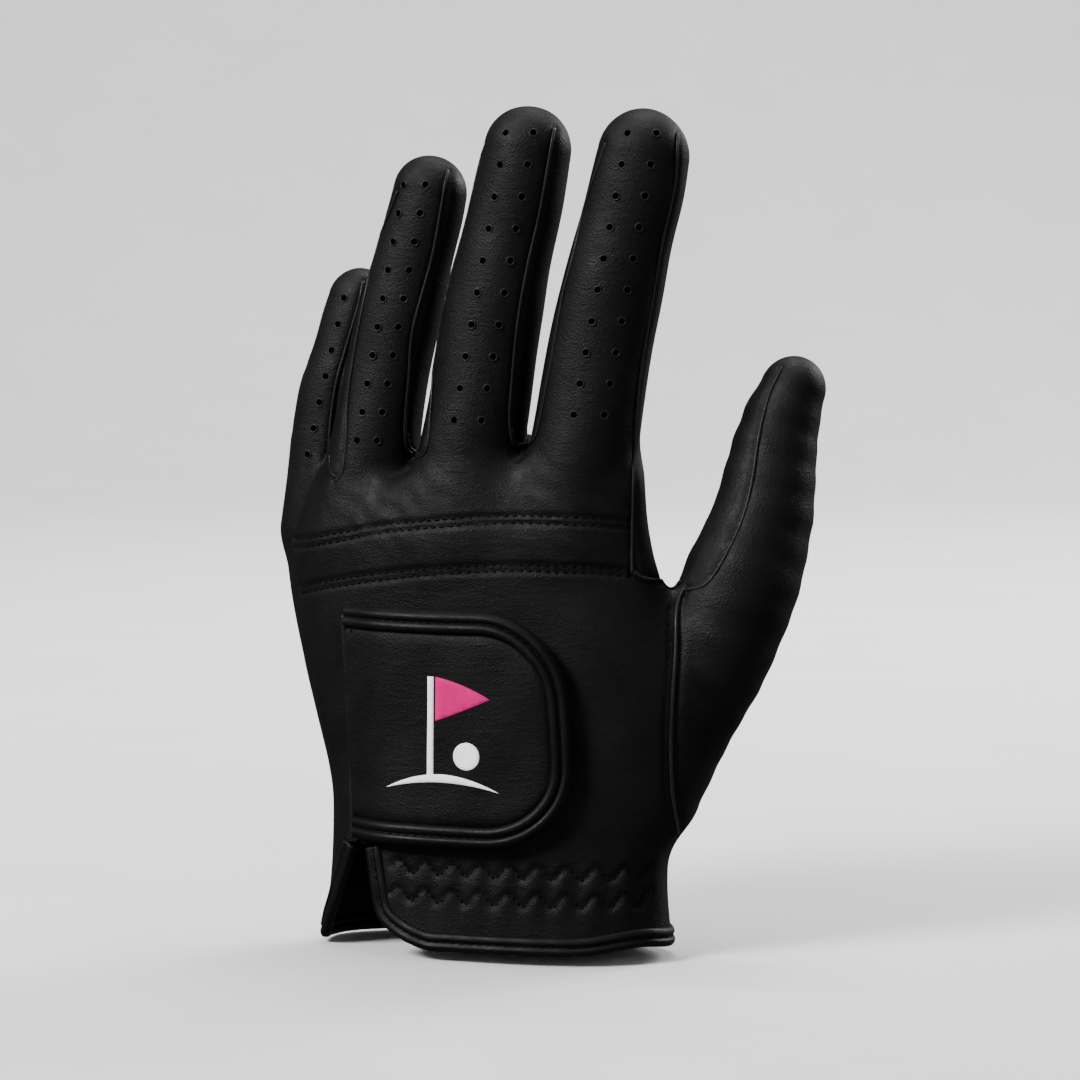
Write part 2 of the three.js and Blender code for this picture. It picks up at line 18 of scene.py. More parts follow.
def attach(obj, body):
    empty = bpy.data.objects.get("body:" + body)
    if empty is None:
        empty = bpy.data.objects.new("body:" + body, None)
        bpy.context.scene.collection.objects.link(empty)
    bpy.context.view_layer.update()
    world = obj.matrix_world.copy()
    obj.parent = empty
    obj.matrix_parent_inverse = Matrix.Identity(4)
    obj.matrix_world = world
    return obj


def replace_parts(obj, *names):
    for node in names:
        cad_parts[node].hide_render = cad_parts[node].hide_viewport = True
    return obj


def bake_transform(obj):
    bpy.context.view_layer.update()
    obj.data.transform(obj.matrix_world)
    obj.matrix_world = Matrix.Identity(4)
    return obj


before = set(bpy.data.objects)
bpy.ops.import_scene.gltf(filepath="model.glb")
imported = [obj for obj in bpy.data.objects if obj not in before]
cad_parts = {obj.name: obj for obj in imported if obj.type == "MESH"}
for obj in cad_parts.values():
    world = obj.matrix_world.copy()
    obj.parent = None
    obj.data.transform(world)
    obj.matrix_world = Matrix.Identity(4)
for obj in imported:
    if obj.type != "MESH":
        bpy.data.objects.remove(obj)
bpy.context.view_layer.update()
MM = 0.001

# ---------- driving dimensions ----------

PALM_STATIONS = np.array([
    # height, middle, half width, half depth, curl at the little finger
    [0, 0, 44.3, 21, 0],
    [24, -0.2, 43.4, 19.5, 0],
    [45, 0.5, 45.7, 17.5, 2],
    [75, -4.0, 50.3, 16.5, 7],
    [100, -10.1, 50.2, 15.5, 12],
    [118, -11.2, 48.1, 14.5, 16.5],
    [130, -11.4, 47.6, 13.2, 18],
])
PALM_EXPONENT = 0.88  # 1 makes the palm's section an ellipse, less makes it boxier
ARCH_START = 5  # how far towards the thumb from its middle the palm starts to curl in
KNUCKLE_THINNING = 0.3  # share of the palm's depth that is lost towards the fingers
WEB_HEIGHTS = ([-62, -54, -43, -21, 8, 40], [135, 127, 115.5, 122, 125.5, 124])  # x, height
WEB_RISE = 5  # how much higher the palm reaches between the fingers on its palm side
STALLS = {
    # base centre, tip, radius at base and tip, roll of the back in degrees
    "index": ((21.8, 1, 130), (37.9, 5, 212.5), (14.2, 11.3), 0),
    "middle": ((-6.9, 0, 129.5), (8, 5, 213.5), (13.9, 10.9), 2),
    "ring": ((-34.9, 5.2, 126.5), (-19, 9, 201.5), (12.2, 9.2), 12),
    "little": ((-55, 14, 121.5), (-41, 19, 173), (10.4, 8.2), 37),
}
CURL_SHARE = 0.83  # how much of a station's curl the hand's surface takes
STALL_BOW = 1.3  # how far each finger bows towards the little finger, half way up
STALL_DEPTH = 0.93  # depth of a stall's section over its width
STALL_ROOT = 0.28  # share of a stall's length that it reaches down into the palm
STALL_DROP = 8  # how far below a stall's base centre its own leather starts
STALL_EASE = 0.6  # added to a stall's radius at its low end
LITTLE_INWARD = 4  # how far the little finger's low end is shifted into the palm
LITTLE_TUCK = 3.7  # how much narrower the little finger's low end is, inside the palm's side
FINGER_JOIN = 1.0  # width over which neighbouring fingers run together
PALM_JOIN = 6  # the same for fingers and palm
THUMB_JOIN = 10  # and for thumb and palm
# The thumb as a chain of balls: place across in facing coordinates, depth, height, radius.
THUMB_CHAIN = [
    (41, 6, 43, 9),
    (46, 8, 58, 11.5),
    (54, 11, 78, 14),
    (59.8, 15, 94, 14.8),
    (65.5, 19.5, 110, 13),
    (68, 22.5, 123.8, 11.2),
    (70.2, 25, 133.8, 9.9),
    (73.6, 27.5, 143.2, 8.6),
]
THUMB_PIVOT = np.array([62.5, 16.5, 107])
THUMB_DIRECTION = np.array([0.14, 0.3, 0.94]) / np.linalg.norm([0.14, 0.3, 0.94])
THUMB_DROP = 13.8  # how far below the thumb's pivot its own leather starts
THUMB_SLIMMING = 0.3  # how much slimmer than its balls the thumb is
HEM_MIDDLE = 5.2  # height of the middle of the binding, where the leather ends, at the palm side
HEM_RISE = 1.9  # how much higher it is at the back of the wrist
SLIT_TOP = 30  # the wrist slit runs from here down to the hem
# Each edge of the slit: degrees round the palm at the hem and at the top, height of its corner's
# low end, how many degrees the corner turns and how sharply.
SLIT_BACK_EDGE = ((-118, -129), 7.5, 14, 2.4)
SLIT_FLAP_EDGE = ((-171, -144), 4.8, -9, 4)
SLIT_CORNER = 8.5  # height over which each corner rounds off into the hem
TAB_LEFT = (-34, -37.4)  # x of the tab's sewn edge, low and high
TAB_RIGHT = math.radians(-64.5)
TAB_HEIGHT = (31.2, 89.6)
TAB_LENGTH = 62
TAB_THICKNESS = 1.4
TAB_LIFT = 2.9  # underside of the tab over the back, where the fasteners are
TAB_CORNER = 0.34  # share of the tab's length taken by its rounded end
TAB_CORNER_DROP = 20  # height of each rounded corner
TAB_WAVES = (0.16, 0.07)  # heights of the tab's slow and faster unevenness
# Section of the tab's binding as (away from the tab's middle, out): the high inner roll, a
# stitched groove, the lower outer roll, and a flat underside.
TAB_BINDING_SECTION = [
    (-2.75, 0.1), (-2.6, 0.95), (-2.0, 1.65), (-1.35, 1.85), (-0.7, 1.6), (-0.2, 0.95), (0, 0.6),
    (0.2, 0.95), (0.6, 1.45), (1.2, 1.6), (1.8, 1.35), (2.3, 0.75), (2.6, 0.2), (2.9, -0.2),
    (2.9, -0.75), (1.5, -0.8), (0.2, -0.65), (-0.2, -0.65), (-1.3, -0.95), (-2.2, -0.8),
    (-2.6, -0.4),
]
PATCH_ANGLES = (math.radians(-106), math.radians(-70))
PATCH_HEIGHTS = (41, 77)
EMBLEM_CENTRE = (-8.7, 58.5)  # on the tab, in x and height
LEATHER = 0.8
ELASTICS = {"upper": 24.0, "lower": 16.5}  # height of the middle of each inside elastic
ELASTIC_WIDTH = 5.2
ELASTIC_ROWS = {"upper": 25.2, "lower": 18.4}  # height of each wavy row of stitching
ELASTIC_WAVE = 7.3  # length of one wave
ELASTIC_HEIGHT = 1.5  # height of a wave either side of its row's middle
BINDING_HALF = 2.35  # half the width of the rolled binding round the cuff
TAB_RIM_INSET = 2.75  # from the tab's outline to the groove of its binding
TAB_PANEL_INSET = 4.9  # and to the edge of its panel, under the binding
PERFORATION_RADIUS = 0.85
PERFORATIONS = {
    # holes in a column, (across at the top, at the bottom) of each column, top and bottom heights
    "index": (10, [(31.4, 18.3), (38.4, 25.8)], 206.7, 138),
    "middle": (10, [(1.6, -11.2), (8.4, -4.4)], 207, 136.3),
    "ring": (10, [(-24.2, -35.9), (-18.6, -30.9)], 194.4, 130.5),
    "little": (7, [(-40, -49.4)], 165.8, 126),
}
SAMPLING_STEP = 1.3  # the leather's points are half this apart
FACING_TURN = math.radians(16)
FACING_RIGHT = np.array([math.cos(FACING_TURN), math.sin(FACING_TURN), 0])
FACING_AWAY = np.array([-math.sin(FACING_TURN), math.cos(FACING_TURN), 0])


# ---------- small maths ----------

def smoothstep(low, high, value):
    """0 below low, 1 above high, and a smooth rise between them."""
    t = np.clip((value - low) / (high - low), 0, 1)
    return t * t * (3 - 2 * t)


def smooth_min(a, b, width):
    """The smaller value, rounded over where the two are closer than width."""
    return np.minimum(a, b) - np.maximum(width - np.abs(a - b), 0) ** 2 / (4 * width)


def smooth_max(a, b, width):
    """The larger value, rounded over in the same way."""
    return -smooth_min(-a, -b, width)


def unit(v):
    """Directions of length one."""
    v = np.asarray(v, float)
    return v / np.maximum(np.linalg.norm(v, axis=-1, keepdims=True), 1e-9)


def curve_through(points, count):
    """A smooth curve through points, cut into count points at even spacing."""
    points = np.asarray(points, float)
    before = np.vstack([2 * points[0] - points[1], points[:-1]])
    after = np.vstack([points[1:], 2 * points[-1] - points[-2]])
    tangent = (after - before) / 2
    t = np.linspace(0, 1, 24, endpoint=False)[:, None]
    rows = []
    for k in range(len(points) - 1):
        a, b, ta, tb = points[k], points[k + 1], tangent[k], tangent[k + 1]
        rows.append(
            (2 * t**3 - 3 * t**2 + 1) * a + (t**3 - 2 * t**2 + t) * ta
            + (3 * t**2 - 2 * t**3) * b + (t**3 - t**2) * tb
        )
    rows.append(points[-1:])
    return even(np.vstack(rows), count)


def even(line, count):
    """The same line with count points at even spacing."""
    steps = np.linalg.norm(np.diff(line, axis=0), axis=1)
    along = np.concatenate([[0], np.cumsum(steps)])
    wanted = np.linspace(0, along[-1], count)
    return np.stack([np.interp(wanted, along, line[:, k]) for k in range(line.shape[1])], 1)


def length_of(line):
    """Length of a line of points."""
    return float(np.linalg.norm(np.diff(line, axis=0), axis=1).sum())


# ---------- the hand shape ----------

def palm_values(z):
    """Middle, half width, half depth and curl of the palm at each height."""
    heights = PALM_STATIONS[:, 0]
    z = np.clip(z, heights[0], heights[-1])
    k = np.clip(np.searchsorted(heights, z, side="right") - 1, 0, len(heights) - 2)
    t = ((z - heights[k]) / (heights[k + 1] - heights[k]))[..., None]
    rows = PALM_STATIONS[:, 1:]
    p1, p2 = rows[k], rows[k + 1]
    p0, p3 = rows[np.maximum(k - 1, 0)], rows[np.minimum(k + 2, len(rows) - 1)]
    v1, v2 = (p2 - p0) / 2, (p3 - p1) / 2
    value = (2 * p1 - 2 * p2 + v1 + v2) * t**3 + (3 * p2 - 3 * p1 - 2 * v1 - v2) * t**2 + v1 * t + p1
    return np.moveaxis(value, -1, 0)


def squared(value):
    """A sine or cosine made boxier or rounder by the palm's exponent."""
    return np.sign(value) * np.abs(value) ** PALM_EXPONENT


def palm_point(angle, z, lift=0.0):
    """A point of the palm's tube, at an angle from +X towards +Y and a height, set off by lift."""
    angle, z, lift = np.broadcast_arrays(np.asarray(angle, float), z, lift)
    middle, half, depth, curl = palm_values(z)
    x = middle + (half + lift) * squared(np.cos(angle))
    y = (depth + lift) * squared(np.sin(angle))
    out = np.maximum(0, (middle + ARCH_START - x) / half)
    return np.stack([x, y + CURL_SHARE * curl * out**2, z], -1)


def back_angle(x, z, lift=0.0):
    """Angle round the palm of the back's point at an x and height, set off by lift."""
    middle, half, _, _ = palm_values(np.asarray(z, float))
    share = np.clip((x - middle) / (half + lift), -1, 1)
    return -np.arccos(np.sign(share) * np.abs(share) ** (1 / PALM_EXPONENT))


def web_height(x):
    """How high the palm reaches between the fingers."""
    return np.interp(x, *WEB_HEIGHTS)


def palm_distance(p):
    """About how far each point is outside the palm."""
    x, y, z = p[:, 0], p[:, 1], p[:, 2]
    middle, half, depth, curl = palm_values(z)
    depth = depth * (1 - KNUCKLE_THINNING * smoothstep(106, 134, z))
    out = np.maximum(0, (middle + ARCH_START - x) / half)
    across, through = x - middle, y - CURL_SHARE * curl * out**2
    power = 2 / PALM_EXPONENT
    share = ((np.abs(across) / half) ** power + (np.abs(through) / depth) ** power) ** (1 / power)
    side = np.hypot(across, through) * (1 - 1 / np.maximum(share, 1e-6))
    web = web_height(x) + WEB_RISE * smoothstep(-2, 8, through)
    return smooth_max(side, z - web, PALM_JOIN)


def stall_axis(name):
    """Ends of the line in the middle of a stall."""
    base, tip, radius, _ = STALLS[name]
    base, tip = np.array(base, float), np.array(tip, float)
    inward = np.array([LITTLE_INWARD, 0, 0]) if name == "little" else 0
    return base - STALL_ROOT * (tip - base) + inward, tip - unit(tip - base) * radius[1]


def stall_distance(p, name):
    """About how far each point is outside a finger stall."""
    _, _, (wide, narrow), roll = STALLS[name]
    low, high = stall_axis(name)
    axis = high - low
    t = np.clip((p - low) @ axis / (axis @ axis), 0, 1)
    bow = STALL_BOW * np.exp(-(((t - 0.58) / 0.24) ** 2))
    away = p - (low + t[:, None] * axis) + np.outer(bow, [1, 0, 0])
    turn = math.radians(roll)
    depth_way = np.array([math.sin(turn), math.cos(turn), 0])
    away = away + np.outer(away @ depth_way * (1 / STALL_DEPTH - 1), depth_way)
    swell = 0.35 * np.exp(-((t - 0.62) / 0.12) ** 2) + 0.3 * np.exp(-((t - 0.92) / 0.1) ** 2)
    wide = wide + STALL_EASE
    radius = wide + (narrow - wide) * t**0.8 + swell
    if name == "little":
        radius = radius - LITTLE_TUCK * np.clip(1 - t / 0.38, 0, 1) ** 1.3
    return np.linalg.norm(away, axis=1) - radius


def thumb_balls():
    """Centres and radii of the chain of balls, drawn smoothly through the given ones."""
    chain = curve_through(THUMB_CHAIN, 14)
    x = (chain[:, 0] - chain[:, 1] * FACING_RIGHT[1]) / FACING_RIGHT[0]
    return np.stack([x, chain[:, 1], chain[:, 2]], 1), chain[:, 3]


THUMB_CENTRES, THUMB_RADII = thumb_balls()


def thumb_distance(p):
    """About how far each point is outside the thumb."""
    nearest = np.full(len(p), 1e3)
    links = zip(THUMB_CENTRES, THUMB_CENTRES[1:], THUMB_RADII, THUMB_RADII[1:])
    for a, b, ra, rb in links:
        t = np.clip((p - a) @ (b - a) / ((b - a) @ (b - a)), 0, 1)
        gap = np.linalg.norm(p - (a + t[:, None] * (b - a)), axis=1) - (ra + (rb - ra) * t)
        nearest = smooth_min(nearest, gap, 1.5)
    return nearest + THUMB_SLIMMING


def glove_distance(p):
    """About how far each point is outside the leather's smooth shape."""
    fingers = np.full(len(p), 1e3)
    for name in STALLS:
        fingers = smooth_min(fingers, stall_distance(p, name), FINGER_JOIN)
    hand = smooth_min(palm_distance(p), fingers, PALM_JOIN)
    return smooth_min(hand, thumb_distance(p), THUMB_JOIN)


def finger_shape(name):
    """One finger and the palm, without the fingers beside it."""
    return lambda p: smooth_min(palm_distance(p), stall_distance(p, name), PALM_JOIN)


def slope(p, shape=glove_distance, step=0.05):
    """The outward direction of a shape at each point."""
    parts = []
    for k in range(3):
        move = np.zeros(3)
        move[k] = step
        parts.append(shape(p + move) - shape(p - move))
    return unit(np.stack(parts, 1))


def settle(p, shape=glove_distance, rounds=4):
    """Points moved onto a shape."""
    for _ in range(rounds):
        p = p - slope(p, shape) * shape(p)[:, None]
    return p


def lay(across_and_height, shape=glove_distance, behind=False, reach=110):
    """Facing coordinates laid on the glove's back, or its palm side; what misses it settles beside it."""
    flat = np.asarray(across_and_height, float)
    ahead = -FACING_AWAY if behind else FACING_AWAY
    p = np.outer(flat[:, 0], FACING_RIGHT) - 60 * ahead
    p[:, 2] = flat[:, 1]
    travelled = np.zeros(len(p))
    closest, best = p.copy(), np.full(len(p), 1e3)
    for _ in range(70):
        gap = shape(p)
        nearer = gap < best
        closest[nearer], best[nearer] = p[nearer], gap[nearer]
        move = np.where(travelled > reach, 0, np.clip(gap * 0.8, -2, 4))
        p = p + ahead * move[:, None]
        travelled = travelled + move
    return settle(settle(closest, shape, 6))


# ---------- seams, in facing coordinates (across, height) ----------

# Each finger back's seams: the thumb side's first, then the little-finger side's.
FINGER_SEAMS = {
    "index": [
        [
            (33, 99), (33.2, 112), (33.6, 128), (34.8, 146),
            (37.5, 163.5), (40.3, 180), (43.3, 194), (44.2, 206.6),
        ],
        [
            (5.6, 129.6), (8.2, 131.8), (9.7, 137), (13.1, 154.5),
            (15.2, 166.9), (17.9, 177), (21.3, 190.8), (25.8, 204.5),
        ],
    ],
    "middle": [
        [
            (5.2, 129.6), (3.4, 131.6), (2.9, 137), (3.5, 146),
            (4.9, 160), (7.3, 173.8), (10.4, 187.5), (14, 208),
        ],
        [
            (-21.1, 126.8), (-18.6, 129), (-17.6, 137.4), (-16.4, 153),
            (-14.3, 166), (-10.9, 177), (-8.3, 190.8), (-3.5, 205),
        ],
    ],
    "ring": [
        [
            (-21.5, 126.8), (-23.2, 129), (-23.4, 136), (-22.5, 146),
            (-21.3, 158.6), (-16.4, 177), (-12.6, 198),
        ],
        [
            (-42, 120.4), (-40.2, 122.6), (-39.3, 131), (-39, 139.5),
            (-37.6, 150), (-34.6, 166), (-31, 180), (-26, 193),
        ],
    ],
    "little": [
        [
            (-42.4, 120.4), (-43.4, 123), (-43.1, 132.6), (-41.5, 144),
            (-39, 153), (-35.8, 164), (-34.6, 170),
        ],
    ],
}
# The seam round the bottom of the gap on the little-finger side of each finger.
CROTCH_SEAMS = {
    "index": [(2.9, 134), (3.4, 131.4), (5.1, 129.9), (7.4, 130.6), (9.2, 134)],
    "middle": [(-23.3, 132), (-22.8, 128.8), (-20.9, 127.2), (-19, 128.8), (-18, 132)],
    "ring": [(-43.3, 126.5), (-43, 123), (-41.4, 121.3), (-40, 123), (-39.5, 127)],
}
# Stitched rows across the back, from the highest to the lowest.
KNUCKLE_ROWS = [
    [(-52.6, 104.5), (-40, 107.6), (-20, 111.4), (4, 113.2), (20, 113), (32.6, 111.8)],
    [(-52.4, 102.3), (-40, 105.6), (-20, 109.6), (4, 111.4), (20, 111.2), (32.6, 110)],
    [(-51.6, 92.6), (-40, 96), (-20, 99.4), (1, 101), (18, 101), (32.6, 100)],
    [(-51.2, 91), (-40, 94.2), (-20, 97.8), (1, 99.5), (18, 99.5), (32.6, 98.5)],
]
THUMB_BASE_SEAM = [
    (44.9, 34), (43.4, 45), (43.0, 56.8), (43.4, 68), (44.2, 80), (44.6, 90), (46.0, 94.5),
]
THUMB_ROW_GAP = 2.4  # from the thumb's base seam to the row of stitching beside it
THUMB_BASE_ROW = [(across - THUMB_ROW_GAP, height) for across, height in THUMB_BASE_SEAM[:-1]]
THUMB_SEAM = [
    (46.4, 94.8), (51.2, 97), (56.2, 105), (59.8, 112.8),
    (62, 121), (64, 132.5), (66.6, 142), (70, 149),
]
# On the palm side, in the same coordinates: the thumb's seam, and the folds that wear leaves.
THUMB_PALM_SEAM = [(45.5, 94), (39, 84), (36, 72), (36.5, 58), (40, 46), (44.5, 36)]
PALM_FOLDS = [
    [(-50, 101), (-36, 106), (-14, 109), (10, 112.5), (33, 110)],
    [(-50, 86), (-30, 88), (-8, 93), (14, 101), (30, 109)],
    [(30, 103), (18, 92), (11, 76), (11, 58), (17, 38)],
]
FINGER_FOLDS = (0.42, 0.7)  # shares of a stall's length with a fold across its palm side
SIDE_SEAM = [(33, 99), (35.5, 97.5), (40, 96.4), (44.6, 95.5)]


# How deep and how wide each kind of seam or fold draws the leather in.
TURNED_SEAM = (0.45, 1.0)
STITCHED_ROW = (0.62, 0.6)
THUMB_BASE_PULL = (0.7, 1.3)
THUMB_ROW_PULL = (0.35, 0.6)
THUMB_PALM_PULL = (0.6, 1.2)
PALM_FOLD = (0.4, 1.7)
FINGER_FOLD = (0.35, 1.3)
ELASTIC_PULL = (0.6, 0.85)


def seam_lines():
    """Every seam and fold that draws the leather in: line on the leather, depth, width."""
    lines = []
    for name, seams in FINGER_SEAMS.items():
        for seam in seams:
            lines.append((lay(curve_through(seam, 120), finger_shape(name)), *TURNED_SEAM))
    for row in KNUCKLE_ROWS:
        lines.append((lay(curve_through(row, 140)), *STITCHED_ROW))
    lines.append((lay(curve_through(THUMB_BASE_SEAM, 90)), *THUMB_BASE_PULL))
    lines.append((lay(curve_through(THUMB_BASE_ROW, 90)), *THUMB_ROW_PULL))
    lines.append((lay(curve_through(THUMB_SEAM, 100)), *TURNED_SEAM))
    lines.append((lay(curve_through(SIDE_SEAM, 40)), *TURNED_SEAM))
    lines.append((lay(curve_through(THUMB_PALM_SEAM, 90), behind=True), *THUMB_PALM_PULL))
    for fold in PALM_FOLDS:
        lines.append((lay(curve_through(fold, 90), behind=True), *PALM_FOLD))
    for name in STALLS:
        for share in FINGER_FOLDS:
            lines.append((finger_fold(name, share), *FINGER_FOLD))
    return lines


def finger_fold(name, share):
    """A fold across a finger's palm side."""
    low, high = stall_axis(name)
    turn = np.radians(np.linspace(118, 242, 40) + STALLS[name][3])
    middle = low + share * (high - low)
    line = middle + 8 * np.stack([np.sin(turn), -np.cos(turn), 0.16 * np.sin(2 * turn)], 1)
    return settle(line, finger_shape(name))


def elastic_line(height, count=320):
    """A wavy row of stitching round the back of the wrist."""
    angle = np.linspace(math.radians(-119), math.radians(-20), count)
    flat = palm_point(angle, height)
    along = np.concatenate([[0], np.cumsum(np.linalg.norm(np.diff(flat, axis=0), axis=1))])
    z = height + ELASTIC_HEIGHT * np.sin(2 * np.pi * along / ELASTIC_WAVE)
    return palm_point(angle, z), along


# ---------- the leather ----------

class Skin:
    """The whole leather surface: points, quads, and the direction out of each point."""

    def __init__(self, points, quads):
        self.points = points
        self.quads = quads
        self.normals = vertex_normals(points, quads)


def vertex_normals(points, quads):
    """The direction out of each point, from the quads round it."""
    a, b, c, d = (points[quads[:, k]] for k in range(4))
    face = np.cross(c - a, d - b)
    normals = np.zeros_like(points)
    for k in range(4):
        np.add.at(normals, quads[:, k], face)
    return unit(normals)


def rough_surface(step):
    """Quads round the smooth shape, one subdivision finer than the sampling step."""
    low, high = np.array([-70.0, -32, -6]), np.array([88.0, 48, 222])
    axes = [np.arange(low[k], high[k], step) for k in range(3)]
    points = np.stack(np.meshgrid(*axes, indexing="ij"), -1).reshape(-1, 3)
    values = np.concatenate([glove_distance(part) for part in np.array_split(points, 12)])
    volume = openvdb.FloatGrid(3.0 * step)
    volume.copyFromArray(np.clip(values, -3 * step, 3 * step).reshape([len(a) for a in axes]))
    found, _, quads = volume.convertToPolygons(isovalue=0, adaptivity=0)
    found = np.array(found, float) * step + low
    quads = np.array(quads, int)
    mesh = bpy.data.meshes.new("rough")
    mesh.from_pydata(found.tolist(), [], quads.tolist())
    holder = bpy.data.objects.new("rough", mesh)
    bpy.context.scene.collection.objects.link(holder)
    holder.modifiers.new("finer", "SUBSURF").levels = 1
    finer = holder.evaluated_get(bpy.context.evaluated_depsgraph_get()).to_mesh()
    points = np.empty(len(finer.vertices) * 3)
    finer.vertices.foreach_get("co", points)
    corners = np.empty(len(finer.loops), int)
    finer.loops.foreach_get("vertex_index", corners)
    bpy.data.objects.remove(holder)
    points, quads = points.reshape(-1, 3), corners.reshape(-1, 4)
    a, b, c = points[quads[:, 0]], points[quads[:, 1]], points[quads[:, 2]]
    if np.einsum("ij,ij->", a, np.cross(b, c)) < 0:
        quads = quads[:, ::-1]
    return points, quads


def point_tree(points):
    """A tree that finds the nearest of many points."""
    tree = KDTree(len(points))
    for k, p in enumerate(points):
        tree.insert(p, k)
    tree.balance()
    return tree


def distance_to_line(points, line, reach):
    """Distance from each point to a line of close points, or reach where it is farther."""
    tree = point_tree(line)
    result = np.full(len(points), float(reach))
    near = np.flatnonzero(
        np.all((points > line.min(0) - reach) & (points < line.max(0) + reach), axis=1)
    )
    for k in near:
        result[k] = min(reach, tree.find(points[k])[2])
    return result


def pull_in(points, normals, lines):
    """Seams draw the leather in, elastics gather it, and it creases a little where it bends."""
    move = np.zeros(len(points))
    for line, depth, width in lines:
        away = distance_to_line(points, even(line, int(length_of(line) * 2)), 4 * width)
        move -= depth * np.exp(-((away / width) ** 2))
    for height in ELASTIC_ROWS.values():
        line, _ = elastic_line(height)
        away = distance_to_line(points, even(line, int(length_of(line) * 2)), 3)
        move -= ELASTIC_PULL[0] * np.exp(-((away / ELASTIC_PULL[1]) ** 2))
    x, y, z = points.T
    back = smoothstep(0, 6, -y) * smoothstep(-30, -20, x)
    gather = np.cos(2 * np.pi * x / ELASTIC_WAVE + 0.6) * np.exp(-((z - 20) / 6.5) ** 2)
    move += 0.3 * gather * back
    slow = np.sin(x * 0.21 + 1.3 * np.sin(z * 0.07)) * np.sin(z * 0.13 + 0.9 * np.sin(x * 0.11))
    move += 0.22 * slow * smoothstep(4, 14, z)
    crease = np.sin((x * 0.55 + z * 0.83) * 1.15 + 0.8 * np.sin(x * 0.5 - z * 0.3))
    patchy = 0.5 + 0.5 * np.sin(x * 0.13 + 2) * np.sin(z * 0.11 - 1)
    knuckles = np.exp(-((z - 118) / 12) ** 2) * smoothstep(0, 5, -y) * (x < 34)
    move += 0.13 * crease * patchy * knuckles
    return points + normals * move[:, None] + flare(points)


def leather_skin(lines):
    """The settled skin, drawn in along the seams."""
    points, quads = rough_surface(SAMPLING_STEP)
    points = settle(points)
    skin = Skin(points, quads)
    return Skin(pull_in(points, skin.normals, lines), quads)


# ---------- meshes ----------

def make_object(name, points, faces, smooth=True):
    """A mesh object from points in millimetres."""
    mesh = bpy.data.meshes.new(name)
    mesh.from_pydata((np.asarray(points) * MM).tolist(), [], [list(map(int, f)) for f in faces])
    mesh.validate()
    mesh.update()
    mesh.polygons.foreach_set("use_smooth", [smooth] * len(mesh.polygons))
    made = bpy.data.objects.new(name, mesh)
    bpy.context.scene.collection.objects.link(made)
    return made


def thick_piece(name, skin, chosen):
    """A closed piece of leather from the chosen quads, with the skin's own normals outside."""
    quads = skin.quads[chosen]
    used, index = np.unique(quads, return_inverse=True)
    quads = index.reshape(-1, 4)
    outer = skin.points[used]
    normals = skin.normals[used]
    inner = outer - normals * LEATHER
    count = len(used)
    edges = np.concatenate([quads[:, [k, (k + 1) % 4]] for k in range(4)])
    key = np.sort(edges, axis=1)
    _, first, uses = np.unique(key, axis=0, return_index=True, return_counts=True)
    rim = edges[first[uses == 1]]
    walls = np.stack([rim[:, 1], rim[:, 0], rim[:, 0] + count, rim[:, 1] + count], 1)
    faces = np.concatenate([quads, quads[:, ::-1] + count, walls])
    made = make_object(name, np.concatenate([outer, inner]), faces)
    outside = normals[quads].reshape(-1, 3)
    inside_out = -normals[quads[:, ::-1]].reshape(-1, 3)
    wall_normal = unit(np.cross(outer[rim[:, 0]] - outer[rim[:, 1]], -normals[rim[:, 0]]))
    corner_normals = np.concatenate([outside, inside_out, np.repeat(wall_normal, 4, axis=0)])
    made.data.normals_split_custom_set(corner_normals.tolist())
    return made


def grid_faces(rows, columns, closed=False):
    """Quads of a grid of rows, each closing on itself when asked."""
    faces = []
    for j in range(rows - 1):
        for i in range(columns if closed else columns - 1):
            n = (i + 1) % columns
            faces.append((j * columns + i, j * columns + n, (j + 1) * columns + n, (j + 1) * columns + i))
    return faces


def sheet_object(name, surface, steps, thickness):
    """A closed sheet from surface(s, t, depth), where depth 0 is its outside."""
    across, along = steps
    s, t = np.meshgrid(np.linspace(0, 1, across), np.linspace(0, 1, along))
    outer = surface(s.ravel(), t.ravel(), 0.0)
    inner = surface(s.ravel(), t.ravel(), thickness)
    count = across * along
    top = grid_faces(along, across)
    faces = top + [tuple(v + count for v in reversed(f)) for f in top]
    border = list(range(across))
    border += [j * across + across - 1 for j in range(1, along)]
    border += [(along - 1) * across + i for i in range(across - 2, -1, -1)]
    border += [j * across for j in range(along - 2, 0, -1)]
    for a, b in zip(border, border[1:] + border[:1]):
        faces.append((b, a, a + count, b + count))
    return make_object(name, np.concatenate([outer, inner]), faces)


def frames_along(line, normals):
    """Tangent, outward and sideways directions at each point of a line."""
    tangent = unit(np.gradient(line, axis=0))
    out = unit(normals - tangent * np.sum(normals * tangent, axis=1)[:, None])
    return tangent, out, np.cross(out, tangent)


def sweep(line, normals, profile):
    """Points and faces of a closed profile of (sideways, out) pairs carried along a line."""
    _, out, side = frames_along(line, normals)
    profile = np.asarray(profile, float)
    rings = line[:, None] + side[:, None] * profile[None, :, :1] + out[:, None] * profile[None, :, 1:]
    count = len(profile)
    faces = grid_faces(len(line), count, closed=True)
    faces.append(tuple(reversed(range(count))))
    faces.append(tuple((len(line) - 1) * count + k for k in range(count)))
    return rings.reshape(-1, 3), faces


def circle_profile(radius, sides=10, flat=1.0):
    """A round section, or an oval one whose height is flat times its width."""
    turn = np.linspace(0, 2 * np.pi, sides, endpoint=False)
    return np.stack([radius * np.cos(turn), radius * flat * np.sin(turn)], 1)


def joined(parts):
    """One list of points and faces from many."""
    points, faces, offset = [], [], 0
    for p, f in parts:
        points.append(p)
        faces += [tuple(v + offset for v in face) for face in f]
        offset += len(p)
    return np.concatenate(points), faces


